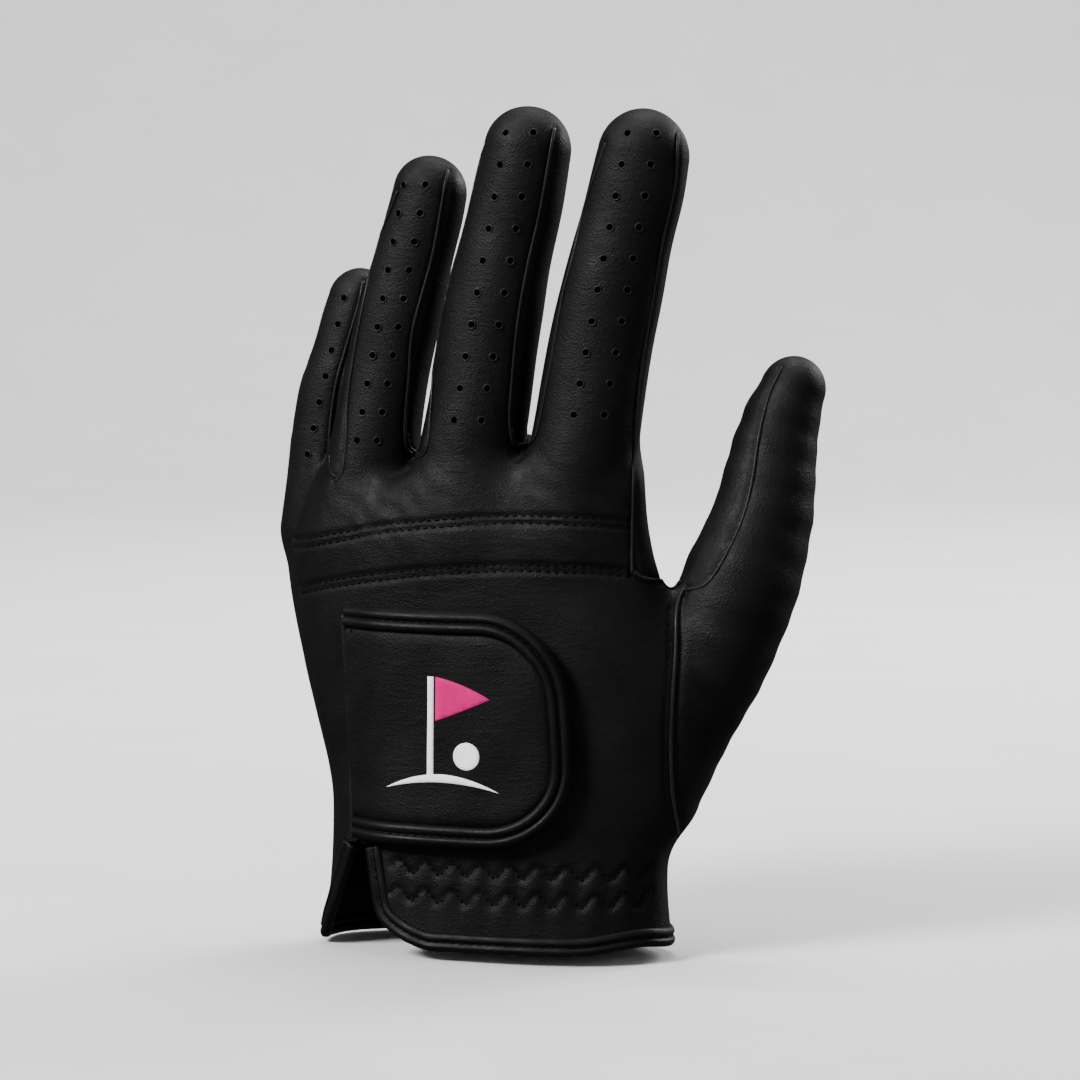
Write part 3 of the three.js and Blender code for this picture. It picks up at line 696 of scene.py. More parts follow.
def stitches(line, normals, pitch, radius, share=0.62, sink=0.0):
    """Short rounded stitches of thread along a line."""
    count = max(2, int(length_of(line) / pitch))
    fine = even(np.hstack([line, normals]), count * 6 + 1)
    spots, ways = fine[:, :3], unit(fine[:, 3:])
    parts = []
    reach = share * 6
    swell = np.array([0.25, 0.85, 1.0, 1.0, 0.85, 0.25])
    lifted = np.array([-0.9, -0.1, 0.15, 0.15, -0.1, -0.9])
    for k in range(count):
        at = k * 6 + np.linspace(0, reach, 6)
        low = np.floor(at).astype(int)
        part = (at - low)[:, None]
        centre = spots[low] * (1 - part) + spots[np.minimum(low + 1, len(spots) - 1)] * part
        way = ways[low]
        _, out, side = frames_along(centre, way)
        turn = np.linspace(0, 2 * np.pi, 6, endpoint=False)
        ring = np.stack([np.cos(turn), np.sin(turn)], 1) * radius
        centre = centre + out * (lifted * radius - sink)[:, None]
        rings = (
            centre[:, None]
            + side[:, None] * ring[None, :, :1] * swell[:, None, None]
            + out[:, None] * ring[None, :, 1:] * swell[:, None, None]
        )
        faces = grid_faces(6, 6, closed=True) + [(5, 4, 3, 2, 1, 0), (30, 31, 32, 33, 34, 35)]
        parts.append((rings.reshape(-1, 3), faces))
    return joined(parts)


# ---------- which leather goes where ----------

def palm_angle(points):
    """Angle of each point round the palm, as palm_point has it."""
    middle, half, depth, curl = palm_values(points[:, 2])
    out = np.maximum(0, (middle + ARCH_START - points[:, 0]) / half)
    x = (points[:, 0] - middle) / half
    y = (points[:, 1] - CURL_SHARE * curl * out**2) / depth
    power = 1 / PALM_EXPONENT
    return np.arctan2(np.sign(y) * np.abs(y) ** power, np.sign(x) * np.abs(x) ** power)


def hem_height(angle):
    """Middle of the hem's binding, which rises a little over the back of the wrist."""
    back = smoothstep(-0.2, 0.6, -np.sin(angle))
    thumb_side = smoothstep(0.5, 0.95, np.cos(angle))
    return HEM_MIDDLE + HEM_RISE * (back + 1.1 * thumb_side)


def flare(p):
    """The flap beside the slit stands off the wrist a little."""
    near_hem = 1 - smoothstep(0, 30, p[:, 2])
    at_flap = 1 - smoothstep(-43, -35, p[:, 0])
    return np.outer(near_hem * at_flap, [-2.0, -0.6, 0])


def slit_edge(z, ends, corner_start, corner_turn, sharpness):
    """Angle of one edge of the slit, which rounds off into the hem."""
    z = np.asarray(z, float)
    t = np.clip(z / SLIT_TOP, 0, 1)
    corner = np.clip(1 - (z - corner_start) / SLIT_CORNER, 0, 1) ** sharpness
    return np.radians(ends[0] + (ends[1] - ends[0]) * t + corner_turn * corner)


def slit_edges(z):
    """Angles of the slit's back edge and of its flap edge."""
    return slit_edge(z, *SLIT_BACK_EDGE), slit_edge(z, *SLIT_FLAP_EDGE)


def seam_across(seam, z):
    """How far across a seam lies at each height."""
    seam = np.array(seam, float)
    return np.interp(z, seam[:, 1], seam[:, 0])


def sort_leather(skin):
    """The quads of each piece of leather, by name."""
    middle = skin.points[skin.quads].mean(1)
    out = skin.normals[skin.quads].mean(1)
    distances = np.stack([stall_distance(middle, name) for name in STALLS])
    owner = distances.argmin(0)
    to_thumb = thumb_distance(middle)
    thumb = (to_thumb < palm_distance(middle)) & (to_thumb < distances.min(0))
    stall_starts = np.array([STALLS[name][0][2] - STALL_DROP for name in STALLS])
    finger = ~thumb & (middle[:, 2] > stall_starts[owner])
    keep = is_leather(middle)
    chosen = {}
    for k, name in enumerate(STALLS):
        chosen.update(sort_stall(name, keep & finger & (owner == k), middle, out))
    chosen.update(sort_thumb(keep & thumb, middle, out))
    chosen.update(sort_hand(keep & ~finger & ~thumb, middle, out))
    return chosen


def is_leather(middle):
    """Which quads lie over the hem and beside the slit."""
    z, angle = middle[:, 2], palm_angle(middle)
    back, flap = slit_edges(z)
    in_slit = (z < SLIT_TOP) & (angle < back) & (angle > flap)
    return (z > hem_height(angle)) & ~in_slit


def sort_stall(name, mine, middle, out):
    """Back, palm side and fourchette arms of a stall. The outer fingers have one arm only."""
    facing, z = middle @ FACING_RIGHT, middle[:, 2]
    side, away = out @ FACING_RIGHT, out @ FACING_AWAY
    seams = FINGER_SEAMS[name]
    back = mine & (away < 0.05) & (facing < seam_across(seams[0], z))
    if len(seams) > 1:
        back &= facing > seam_across(seams[1], z)
    palm = mine & ~back & (away > 0.62)
    if name == "index":
        palm |= mine & ~back & (side > 0)
    if name == "little":
        palm |= mine & ~back & (side < 0)
    rest = mine & ~back & ~palm
    pieces = {name + "_back": back, name + "_palm": palm}
    if name != "index":
        pieces[name + "_radial_fourchette"] = rest & (side > 0)
    if name != "little":
        pieces[name + "_ulnar_fourchette"] = rest & (side <= 0)
    return pieces


def sort_thumb(mine, middle, out):
    """Gusset, back and palm side of the thumb, above and below the low end of its stall."""
    along = (middle - THUMB_PIVOT) @ THUMB_DIRECTION
    gusset = (out @ FACING_RIGHT < -0.47) & (out @ FACING_AWAY < 0.75)
    pieces = {}
    for part, here in (("thumb", along > -THUMB_DROP), ("thumb_base", along <= -THUMB_DROP)):
        pieces[part + "_gusset"] = mine & here & gusset
        pieces[part + "_back"] = mine & here & ~gusset & (out[:, 1] < 0)
        pieces[part + "_palm"] = mine & here & ~gusset & (out[:, 1] >= 0)
    return pieces


def sort_hand(mine, middle, out):
    """The back's three pieces, parted by its seams, and the palm piece round all the rest."""
    facing, z, angle = middle @ FACING_RIGHT, middle[:, 2], palm_angle(middle)
    on_back = mine & (angle < 0) & (facing < 44) & (out[:, 1] < 0.2)
    high = np.interp(facing, *np.array(KNUCKLE_ROWS[1]).T)
    low = np.interp(facing, *np.array(KNUCKLE_ROWS[2]).T)
    tab_seam = np.radians(-141 + 13 * np.clip((z - 30) / 58, 0, 1))
    upper = on_back & (z > high)
    band = on_back & (z <= high) & (z > low)
    lower = on_back & (z <= low) & (angle > tab_seam)
    return {
        "upper_back_panel": upper,
        "knuckle_band": band,
        "lower_back_panel": lower,
        "palm_panel": mine & ~(upper | band | lower),
    }


# ---------- materials ----------

class Paint:
    """A material built up from procedural textures."""

    def __init__(self, name, roughness, specular=0.5):
        self.material = bpy.data.materials.new(name)
        self.material.use_nodes = True
        self.tree = self.material.node_tree
        self.shader = self.tree.nodes["Principled BSDF"]
        self.shader.inputs["Roughness"].default_value = roughness
        self.shader.inputs["Specular IOR Level"].default_value = specular
        self.place = self.node("ShaderNodeTexCoord").outputs["Object"]
        self.normal = None

    def node(self, kind, **settings):
        made = self.tree.nodes.new(kind)
        for key, value in settings.items():
            setattr(made, key, value)
        return made

    def link(self, a, b):
        self.tree.links.new(a, b)

    def stretched(self, scale, turn=0.0):
        mapping = self.node("ShaderNodeMapping")
        mapping.inputs["Rotation"].default_value = (0, turn, 0)
        mapping.inputs["Scale"].default_value = scale
        self.link(self.place, mapping.inputs["Vector"])
        return mapping.outputs["Vector"]

    def noise(self, size, detail=4, stretch=(1, 1, 1), turn=0.0):
        """Cloudy noise whose patches are about size millimetres."""
        made = self.node("ShaderNodeTexNoise")
        made.inputs["Scale"].default_value = 1000 / size
        made.inputs["Detail"].default_value = detail
        self.link(self.stretched(stretch, turn), made.inputs["Vector"])
        return made.outputs["Fac"]

    def cells(self, size, feature="DISTANCE_TO_EDGE"):
        """A pebble pattern with cells of about size millimetres."""
        wobble = self.node("ShaderNodeTexNoise")
        wobble.inputs["Scale"].default_value = 700 / size
        self.link(self.place, wobble.inputs["Vector"])
        shift = self.node("ShaderNodeVectorMath", operation="MULTIPLY_ADD")
        shift.inputs[1].default_value = [size * MM * 0.8] * 3
        self.link(wobble.outputs["Color"], shift.inputs[0])
        self.link(self.place, shift.inputs[2])
        made = self.node("ShaderNodeTexVoronoi", feature=feature)
        made.inputs["Scale"].default_value = 1000 / size
        self.link(shift.outputs[0], made.inputs["Vector"])
        return made.outputs["Distance"]

    def wave(self, size, direction, distortion=0.0):
        """Bands that repeat about every six times size millimetres."""
        made = self.node("ShaderNodeTexWave", bands_direction=direction)
        made.inputs["Scale"].default_value = 50 / size
        made.inputs["Distortion"].default_value = distortion
        self.link(self.place, made.inputs["Vector"])
        return made.outputs["Fac"]

    def ramp(self, value, low, high, low_colour, high_colour):
        made = self.node("ShaderNodeValToRGB")
        for stop, at, colour in zip(made.color_ramp.elements, (low, high), (low_colour, high_colour)):
            stop.position = at
            stop.color = (*colour, 1)
        self.link(value, made.inputs["Fac"])
        return made.outputs["Color"]

    def colour(self, value):
        self.link(value, self.shader.inputs["Base Color"])

    def roughen(self, value, low, high):
        made = self.node("ShaderNodeMapRange")
        made.inputs["From Min"].default_value = 0.3
        made.inputs["From Max"].default_value = 0.7
        made.inputs["To Min"].default_value = low
        made.inputs["To Max"].default_value = high
        self.link(value, made.inputs["Value"])
        self.link(made.outputs["Result"], self.shader.inputs["Roughness"])

    def bump(self, value, depth, strength=1.0):
        """Relief of up to depth millimetres."""
        made = self.node("ShaderNodeBump")
        made.inputs["Distance"].default_value = depth * MM
        made.inputs["Strength"].default_value = strength
        self.link(value, made.inputs["Height"])
        if self.normal:
            self.link(self.normal, made.inputs["Normal"])
        self.normal = made.outputs["Normal"]
        self.link(self.normal, self.shader.inputs["Normal"])


def leather_paint(name, dark, light, roughness, pebble, relief):
    """Leather with soft creases and a pebbled grain."""
    paint = Paint(name, roughness, 0.18)
    patches = paint.noise(14, 5)
    paint.colour(paint.ramp(patches, 0.32, 0.7, dark, light))
    paint.roughen(paint.noise(5, 6), roughness - 0.06, roughness + 0.1)
    paint.bump(paint.noise(4.5, 3, (1, 1, 0.55)), 0.07 * relief)
    paint.bump(paint.noise(1.2, 2, (0.22, 1, 1.1), 0.75), 0.12 * relief, 0.85)
    paint.bump(paint.cells(pebble), 0.2 * relief, 0.8)
    paint.bump(paint.noise(0.35, 3), 0.05 * relief, 0.7)
    return paint.material


def tape_paint(name, dark, light, rib, roughness):
    """Ribbed textile."""
    paint = Paint(name, roughness, 0.3)
    paint.colour(paint.ramp(paint.noise(2.5, 4), 0.3, 0.7, dark, light))
    paint.bump(paint.wave(rib, "Z"), 0.12)
    paint.bump(paint.wave(rib * 0.8, "X", 0.6), 0.08)
    paint.bump(paint.noise(0.3, 3), 0.08)
    paint.shader.inputs["Sheen Weight"].default_value = 0.02
    paint.shader.inputs["Sheen Roughness"].default_value = 0.6
    return paint.material


def print_paint(name, dark, light):
    """Print with the leather's grain showing through."""
    paint = Paint(name, 0.5, 0.12)
    paint.colour(paint.ramp(paint.noise(6, 4), 0.35, 0.7, dark, light))
    paint.bump(paint.cells(1.15), 0.1, 0.6)
    paint.bump(paint.noise(2.5, 3), 0.06)
    return paint.material


def thread_paint(name):
    """Twisted black thread."""
    paint = Paint(name, 0.65, 0.1)
    paint.colour(paint.ramp(paint.noise(1.5, 3), 0.3, 0.7, (0.001, 0.001, 0.001), (0.003, 0.003, 0.003)))
    paint.bump(paint.wave(0.3, "DIAGONAL"), 0.06)
    return paint.material


DARKEST = (0.0009, 0.00085, 0.0008)
BLACK = (0.0015, 0.0014, 0.0014)
SOFT_BLACK = (0.0028, 0.0026, 0.0024)
GREY_BLACK = (0.008, 0.008, 0.008)
PAINTS = {
    "black_leather": leather_paint("black leather", DARKEST, (0.0024, 0.0022, 0.002), 0.57, 0.75, 1.0),
    "fourchette_leather": leather_paint("fourchette", DARKEST, BLACK, 0.55, 0.9, 0.8),
    "binding_leather": leather_paint("binding", (0.0012, 0.0011, 0.001), SOFT_BLACK, 0.5, 0.8, 0.5),
    "elastic_tape": tape_paint("elastic", SOFT_BLACK, GREY_BLACK, 1.1, 0.8),
    "loop_tape": tape_paint("loop tape", BLACK, SOFT_BLACK, 0.7, 0.9),
    "hook_tape": tape_paint("hook tape", DARKEST, SOFT_BLACK, 1.2, 0.5),
    "white_print": print_paint("white print", (0.78, 0.78, 0.77), (0.88, 0.88, 0.86)),
    "pink_print": print_paint("pink print", (0.44, 0.0, 0.11), (0.52, 0.0003, 0.14)),
}
THREAD = thread_paint("sewing thread")
# Leather for the seam ridges, perforation rims and the tab's sewn edge, several times lighter than the
# glove's: a painted highlight along each edge.
PAINTED_HIGHLIGHT_RIDGE = leather_paint("turned edge", (0.006, 0.0057, 0.0054), (0.011, 0.0105, 0.01), 0.38, 0.7, 0.5)


def dress(made, slot, material=None):
    """Gives a piece one material: its slot's paint, or another one when given."""
    made.data.materials.clear()
    made.data.materials.append(material or PAINTS[slot])
    return made


# ---------- pieces baked in place ----


def go_with_stall(made, name):
    """Leather of a stall folds at its base; this only bakes the piece's placement into its mesh."""
    if name == "thumb":
        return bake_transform(made)
    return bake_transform(made)


def go_with_tab(made):
    """The tab folds at its sewn edge; this only bakes the piece's placement into its mesh."""
    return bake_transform(made)


# ---------- leather pieces ----------

def slot_of(name):
    """The material slot of a piece of leather."""
    return "fourchette_leather" if "fourchette" in name else "black_leather"


# The fourchette arm that also shows the crotch between its finger and the next.
CROTCHES = {
    f"{name}_ulnar_fourchette": f"fourchette_{name}_{following}"
    for name, following in zip(list(STALLS), list(STALLS)[1:])
}


def add_leather(skin):
    """Every leather panel, cut from the skin; the hand's pieces go to its body, the stalls' and thumb's
    are baked in place.
    """
    tree = point_tree(skin.points)
    for name, mask in sort_leather(skin).items():
        made = thick_piece(name + "_hide", skin, mask)
        stall = name.split("_")[0]
        if name.endswith("_back") and stall in PERFORATIONS:
            punch(made, stall)
            restore_normals(made, skin, tree)
        dress(made, slot_of(name))
        if stall in STALLS or name in ("thumb_back", "thumb_palm", "thumb_gusset"):
            go_with_stall(made, stall)
        else:
            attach(made, "hand")
        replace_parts(made, name)
        if name in CROTCHES:
            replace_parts(made, CROTCHES[name])
        if name.endswith("_palm") and "base" not in name:
            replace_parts(made, stall + "_flex_leather")


# ---------- perforations ----------

def perforation_spots(name):
    """Middle of each perforation on a finger's back."""
    count, columns, top, bottom = PERFORATIONS[name]
    t = np.linspace(0, 1, count)
    flat = []
    for first, last in columns:
        across = first + (last - first) * t
        flat.append(np.stack([across, top + (bottom - top) * t], 1))
    return lay(np.concatenate(flat), finger_shape(name))


def ring_round(spot, way, radius, count):
    """A circle of points round a spot, facing a way."""
    side = unit(np.cross(way, [0, 0, 1]))
    up = np.cross(way, side)
    turn = np.linspace(0, 2 * np.pi, count, endpoint=False)
    return spot + radius * (np.outer(np.cos(turn), side) + np.outer(np.sin(turn), up))


def punch(piece, name):
    """Cuts the perforations through a finger's back."""
    spots = perforation_spots(name)
    rods = []
    for spot, way in zip(spots, slope(spots)):
        ring = ring_round(spot, way, PERFORATION_RADIUS, 16)
        faces = [tuple(range(16)), tuple(range(31, 15, -1))]
        faces += [((k + 1) % 16, k, k + 16, (k + 1) % 16 + 16) for k in range(16)]
        rods.append((np.concatenate([ring + way * 2, ring - way * 2.5]), faces))
    cutter = make_object("cutter", *joined(rods), smooth=False)
    cut = piece.modifiers.new("holes", "BOOLEAN")
    cut.operation = "DIFFERENCE"
    cut.solver = "EXACT"
    cut.object = cutter
    shown = piece.evaluated_get(bpy.context.evaluated_depsgraph_get())
    result = bpy.data.meshes.new_from_object(shown)
    piece.modifiers.clear()
    piece.data = result
    bpy.data.objects.remove(cutter)


def restore_normals(piece, skin, tree):
    """Gives a punched piece the skin's own normals again, and flat walls in its holes."""
    mesh = piece.data
    normals = []
    for face in mesh.polygons:
        for corner in face.loop_indices:
            at = Vector(mesh.vertices[mesh.loops[corner].vertex_index].co) / MM
            way = Vector(skin.normals[tree.find(at)[1]])
            facing = face.normal.dot(way)
            normals.append(way if facing > 0.5 else -way if facing < -0.5 else face.normal.copy())
    mesh.normals_split_custom_set([tuple(n) for n in normals])


def add_perforation_rims():
    """The slightly raised edge round each perforation."""
    for name in PERFORATIONS:
        spots = perforation_spots(name)
        parts = []
        turn = np.linspace(0, 2 * np.pi, 8, endpoint=False)
        for spot, way in zip(spots, slope(spots)):
            line = settle(ring_round(spot, way, PERFORATION_RADIUS + 0.12, 20), rounds=2)
            out = unit(line - spot)
            rings = (
                line[:, None]
                + out[:, None] * (0.2 * np.cos(turn))[None, :, None]
                + way[None, None] * (0.13 * np.sin(turn) + 0.03)[None, :, None]
            )
            faces = grid_faces(20, 8, closed=True)
            faces += [(19 * 8 + i, 19 * 8 + (i + 1) % 8, (i + 1) % 8, i) for i in range(8)]
            parts.append((rings.reshape(-1, 3), faces))
        # The rims take the lighter ridge leather, a painted highlight round each hole.
        made = make_object(name + "_perforation_rims", *joined(parts))
        go_with_stall(dress(made, "black_leather", PAINTED_HIGHLIGHT_RIDGE), name)


# ---------- seams on the leather ----------

def stall_side_line(name, degrees):
    """A line up a stall at an angle from the middle of its back."""
    low, high = stall_axis(name)
    top = high[2] + 0.3 * STALLS[name][2][1]
    heights = np.linspace(STALLS[name][0][2] - 3, top, 60)
    t = (heights - low[2]) / (high[2] - low[2])
    turn = math.radians(degrees + STALLS[name][3])
    line = low + t[:, None] * (high - low) + 8 * np.array([math.sin(turn), -math.cos(turn), 0])
    return settle(line, finger_shape(name))


def add_ridge(name, line, radius, aside=0.0, slot="black_leather", material=None, sink=0.1):
    """A turned edge of leather along a seam."""
    out = slope(line)
    _, out, side = frames_along(line, out)
    placed = line + side * aside - out * sink
    made = make_object(name, *sweep(placed, out, circle_profile(radius, 8, 0.85)))
    return dress(made, slot, material)


def sew(name, line, out, pitch=2.3, radius=0.22, share=0.62, sink=0.0):
    """A row of stitches in the sewing thread."""
    made = make_object(name, *stitches(line, out, pitch, radius, share, sink))
    return dress(made, "binding_leather", THREAD)


def add_stitching(name, line, pitch, radius, share=0.62, sink=0.0):
    """A row of stitches on the leather."""
    return sew(name, line, slope(line), pitch, radius, share, sink)


def add_finger_seams():
    """Turned edges and stitching up both sides of the fingers."""
    for name, seams in FINGER_SEAMS.items():
        for k, seam in enumerate(seams):
            line = lay(curve_through(seam, 130), finger_shape(name))
            aside = 0.5 if k == 0 else -0.5
            # The ridges' lighter leather is a painted highlight along each seam.
            go_with_stall(add_ridge(f"{name}_seam_ridge_{k}", line, 0.42, aside, material=PAINTED_HIGHLIGHT_RIDGE), name)
            sewn = add_stitching(f"{name}_seam_stitches_{k}", line, 1.9, 0.16, 0.6, 0.25)
            go_with_stall(sewn, name)
        if name in CROTCH_SEAMS:
            line = lay(curve_through(CROTCH_SEAMS[name], 50))
            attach(add_ridge(f"{name}_crotch_ridge", line, 0.45, material=PAINTED_HIGHLIGHT_RIDGE), "hand")
        for degrees in (130, -130):
            if (name, degrees) in (("index", 130), ("little", -130)):
                continue
            line = stall_side_line(name, degrees)
            made = add_ridge(f"{name}_palm_ridge_{'lr'[degrees > 0]}", line, 0.4, material=PAINTED_HIGHLIGHT_RIDGE)
            go_with_stall(made, name)


def add_hand_seams():
    """Turned edges and stitching of the back and the thumb."""
    for k, row in enumerate(KNUCKLE_ROWS):
        line = lay(curve_through(row, 150))
        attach(add_stitching(f"knuckle_stitches_{k}", line, 2.2, 0.19, 0.64, 0.33), "hand")
    line = lay(curve_through(THUMB_BASE_SEAM, 90))
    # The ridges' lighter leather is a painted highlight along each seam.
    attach(add_ridge("thumb_base_ridge", line, 0.55, 0.75, material=PAINTED_HIGHLIGHT_RIDGE), "hand")
    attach(add_stitching("thumb_base_stitches", line, 2.1, 0.18, 0.62, 0.35), "hand")
    line = lay(curve_through(THUMB_BASE_ROW, 90))
    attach(add_stitching("thumb_base_row", line, 2.1, 0.18, 0.62, 0.3), "hand")
    line = lay(curve_through(THUMB_PALM_SEAM, 90), behind=True)
    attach(add_ridge("thumb_palm_ridge", line, 0.5, -0.6, material=PAINTED_HIGHLIGHT_RIDGE), "hand")
    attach(add_stitching("thumb_palm_stitches", line, 2.1, 0.18, 0.62, 0.35), "hand")
    line = lay(curve_through(SIDE_SEAM, 40))
    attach(add_ridge("side_ridge", line, 0.42, 0.4, material=PAINTED_HIGHLIGHT_RIDGE), "hand")
    line = lay(curve_through(THUMB_SEAM, 110))
    go_with_stall(add_ridge("thumb_seam_ridge", line, 0.42, -0.5, material=PAINTED_HIGHLIGHT_RIDGE), "thumb")
    sewn = add_stitching("thumb_seam_stitches", line, 1.9, 0.16, 0.6, 0.25)
    go_with_stall(sewn, "thumb")


def add_elastic_stitching():
    """The wavy rows that hold the elastics."""
    for name, height in ELASTIC_ROWS.items():
        line, _ = elastic_line(height)
        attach(add_stitching(f"elastic_stitches_{name}", line, 1.75, 0.25, 0.72, 0.5), "hand")


# ---------- bindings ----------

def rolled_profile(half_width, thick, groove, count=40):
    """Two rolls side by side with a stitched groove between them, on both faces."""
    turn = np.linspace(0, 2 * np.pi, count, endpoint=False)
    side = half_width * np.sign(np.cos(turn)) * np.abs(np.cos(turn)) ** 0.9
    out = thick * np.sign(np.sin(turn)) * np.abs(np.sin(turn)) ** 0.62
    return np.stack([side, out * (1 - groove * np.exp(-((side / 0.5) ** 2)))], 1)


def hem_path():
    """The line in the middle of the cuff's binding, from the slit's top round the hem and back."""
    heights = np.array([29.2, 24, 18.5, 15, 13, 11.4, 10, 9, 8.4])
    back, _ = slit_edges(heights)
    flat = [(a, z) for a, z in zip(back, heights)]
    first = slit_edges(7.6)[0] + 0.05
    last = slit_edges(5)[1] + 2 * math.pi - 0.07
    flat += [(a, hem_height(a)) for a in np.linspace(first, last, 40)]
    heights = np.array([5.8, 6.6, 8, 10, 13, 18, 24, 29.2])
    _, flap = slit_edges(heights)
    flat += [(a + 2 * math.pi, z) for a, z in zip(flap, heights)]
    flat = np.array(flat)
    line = palm_point(flat[:, 0], flat[:, 1], -LEATHER / 2)
    return even(curve_through(line + flare(line), 900), 620)


def add_cuff_binding():
    """The double-rolled binding round the hem and the slit, with its stitching on both faces."""
    line = hem_path()
    out = slope(line, palm_distance)
    puckers = 0.05 * np.sin(np.arange(len(line)) * length_of(line) / len(line) * 0.8)
    points, faces = sweep(line, out, rolled_profile(BINDING_HALF, 1.5, 0.52))
    wide = np.repeat(out * puckers[:, None], 40, axis=0)
    made = make_object("cuff_binding_rolls", points + wide, faces)
    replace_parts(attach(dress(made, "binding_leather"), "hand"), "cuff_binding")
    for name, sign in (("outer", 1), ("inner", -1)):
        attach(sew(f"cuff_stitches_{name}", line + out * sign * 0.84, out * sign), "hand")


# ---------- the closure tab ----------

def tab_heights(s, inset):
    """Low and high edge of the tab at a share of its length, inset from its outline."""
    straight = 1 - TAB_CORNER
    turn = np.clip((s - straight) / (1 - inset / TAB_LENGTH - straight), 0, 1)
    drop = (TAB_CORNER_DROP - inset / 2) * (1 - np.sqrt(1 - turn**2))
    return TAB_HEIGHT[0] + inset + drop, TAB_HEIGHT[1] - inset - drop


def tab_point(s, z, lift):
    """A point of the tab: share of its length, height, and distance over its underside."""
    s, z = np.broadcast_arrays(np.asarray(s, float), z)
    rise = 0.8 + (TAB_LIFT - 0.8) * smoothstep(0, 0.3, s)
    left_x = np.interp(z, TAB_HEIGHT, TAB_LEFT)
    left = back_angle(left_x, z, 0.8 + lift)
    return palm_point(left + (TAB_RIGHT - left) * s, z, rise + lift)


def tab_wave(p):
    """Slow unevenness of the tab, as a distance out."""
    x, z = p[:, 0], p[:, 2]
    long_wave = np.sin(x * 0.17 + 1.2) * np.sin(z * 0.12 + 0.4)
    return TAB_WAVES[0] * long_wave + TAB_WAVES[1] * np.sin(x * 0.36 - z * 0.22)


def tab_rim(inset, count=420):
    """The tab's outline, inset, as length along it and height."""
    end = 1 - inset / TAB_LENGTH
    straight = 1 - TAB_CORNER
    corner = straight + (end - straight) * np.sin(np.linspace(0.15, 1.5, 9))
    shares = np.concatenate([np.linspace(0.014, straight, 12), corner])
    low, high = tab_heights(shares, inset)
    low_end, high_end = tab_heights(end, inset)
    across = np.concatenate([shares, [end] * 3, shares[::-1]])
    up = np.concatenate([high, high_end + (low_end - high_end) * np.array([0.2, 0.5, 0.8]), low[::-1]])
    return curve_through(np.stack([across * TAB_LENGTH, up], 1), count)


def add_tab_binding():
    """The rolled binding round the tab, with stitching in its groove."""
    flat = tab_rim(TAB_RIM_INSET)
    line = tab_point(flat[:, 0] / TAB_LENGTH, flat[:, 1], TAB_THICKNESS / 2 + 0.2)
    out = slope(line, palm_distance)
    line = line + out * tab_wave(line)[:, None]
    made = make_object("tab_rolls", *sweep(line, out, TAB_BINDING_SECTION[::-1]))
    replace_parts(go_with_tab(dress(made, "binding_leather")), "tab_binding")
    go_with_tab(sew("tab_stitches", line + out * 0.82, out))


def tab_surface(s, t, depth):
    """The tab's leather inside its binding, with a soft edge."""
    end = 1 - TAB_PANEL_INSET / TAB_LENGTH
    share = -0.01 + s * (end + 0.01)
    low, high = tab_heights(share, TAB_PANEL_INSET)
    points = tab_point(share, low + (high - low) * t, TAB_THICKNESS)
    edge = np.minimum(np.minimum(t, 1 - t) * (high - low), (end - share) * TAB_LENGTH)
    rise = 0.5 * (1 - np.exp(-((edge / 2.2) ** 2))) - 0.5 * np.exp(-((edge / 1.0) ** 2))
    rise = rise + tab_wave(points)
    return points + slope(points, palm_distance) * (rise - depth)[:, None]


def add_tab_panel():
    """The tab itself."""
    made = sheet_object("tab_hide", tab_surface, (140, 110), TAB_THICKNESS)
    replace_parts(go_with_tab(dress(made, "black_leather")), "tab_panel")


def add_tab_seam():
    """The ridge and the stitches where the tab is sewn to the back."""
    heights = np.linspace(31, 87, 80)
    points = tab_point(0.004, heights, 0.35)
    profile = circle_profile(0.65, 12, 2.5)
    # The sewn edge's lighter leather is a painted highlight along it.
    made = make_object("tab_sewn_edge", *sweep(points, slope(points, palm_distance), profile))
    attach(dress(made, "black_leather", PAINTED_HIGHLIGHT_RIDGE), "hand")
    points = tab_point(0.05, heights, TAB_THICKNESS + 0.1)
    sewn = sew("tab_seam_stitches", points, slope(points, palm_distance), 2.2, 0.2)
    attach(sewn, "hand")


def patch_surface(lift, swell):
    """A fastener's backing over the back of the wrist."""
    def surface(s, t, depth):
        angle = PATCH_ANGLES[0] + (PATCH_ANGLES[1] - PATCH_ANGLES[0]) * s
        z = PATCH_HEIGHTS[0] + (PATCH_HEIGHTS[1] - PATCH_HEIGHTS[0]) * t
        fluff = swell * np.sin(s * 90) * np.sin(t * 120)
        return palm_point(angle, z, lift - depth + fluff)

    return surface


def scatter_arcs(lift, pitch, radius, thread, spread, sign):
    """Little arcs of thread standing on a patch, for loops or hooks."""
    width = PALM_STATIONS[3][2] * (PATCH_ANGLES[1] - PATCH_ANGLES[0])
    rows = int((PATCH_HEIGHTS[1] - PATCH_HEIGHTS[0] - 2) / pitch)
    columns = int((width - 2) / pitch)
    turn = np.linspace(-0.15, spread, 6)
    parts = []
    for j in range(rows):
        for i in range(columns):
            jig = math.sin(i * 12.9898 + j * 78.233) * 0.5
            s = (i + 0.8 + 0.35 * jig) / (columns + 0.6)
            z = PATCH_HEIGHTS[0] + 1 + (j + 0.5 + 0.3 * jig) * pitch
            angle = PATCH_ANGLES[0] + (PATCH_ANGLES[1] - PATCH_ANGLES[0]) * s
            base = palm_point(angle, z, lift)
            out = sign * unit(palm_point(angle, z, lift + 1) - base)
            lean = 0.6 * jig
            way = unit(np.cross(out, [math.sin(lean), 0, math.cos(lean)]))
            line = base + radius * (np.outer(np.cos(turn), way) + 1.2 * np.outer(np.sin(turn), out))
            parts.append(sweep(line, np.repeat([[0, 0, 1.0]], 6, axis=0), circle_profile(thread, 4)))
    return joined(parts)


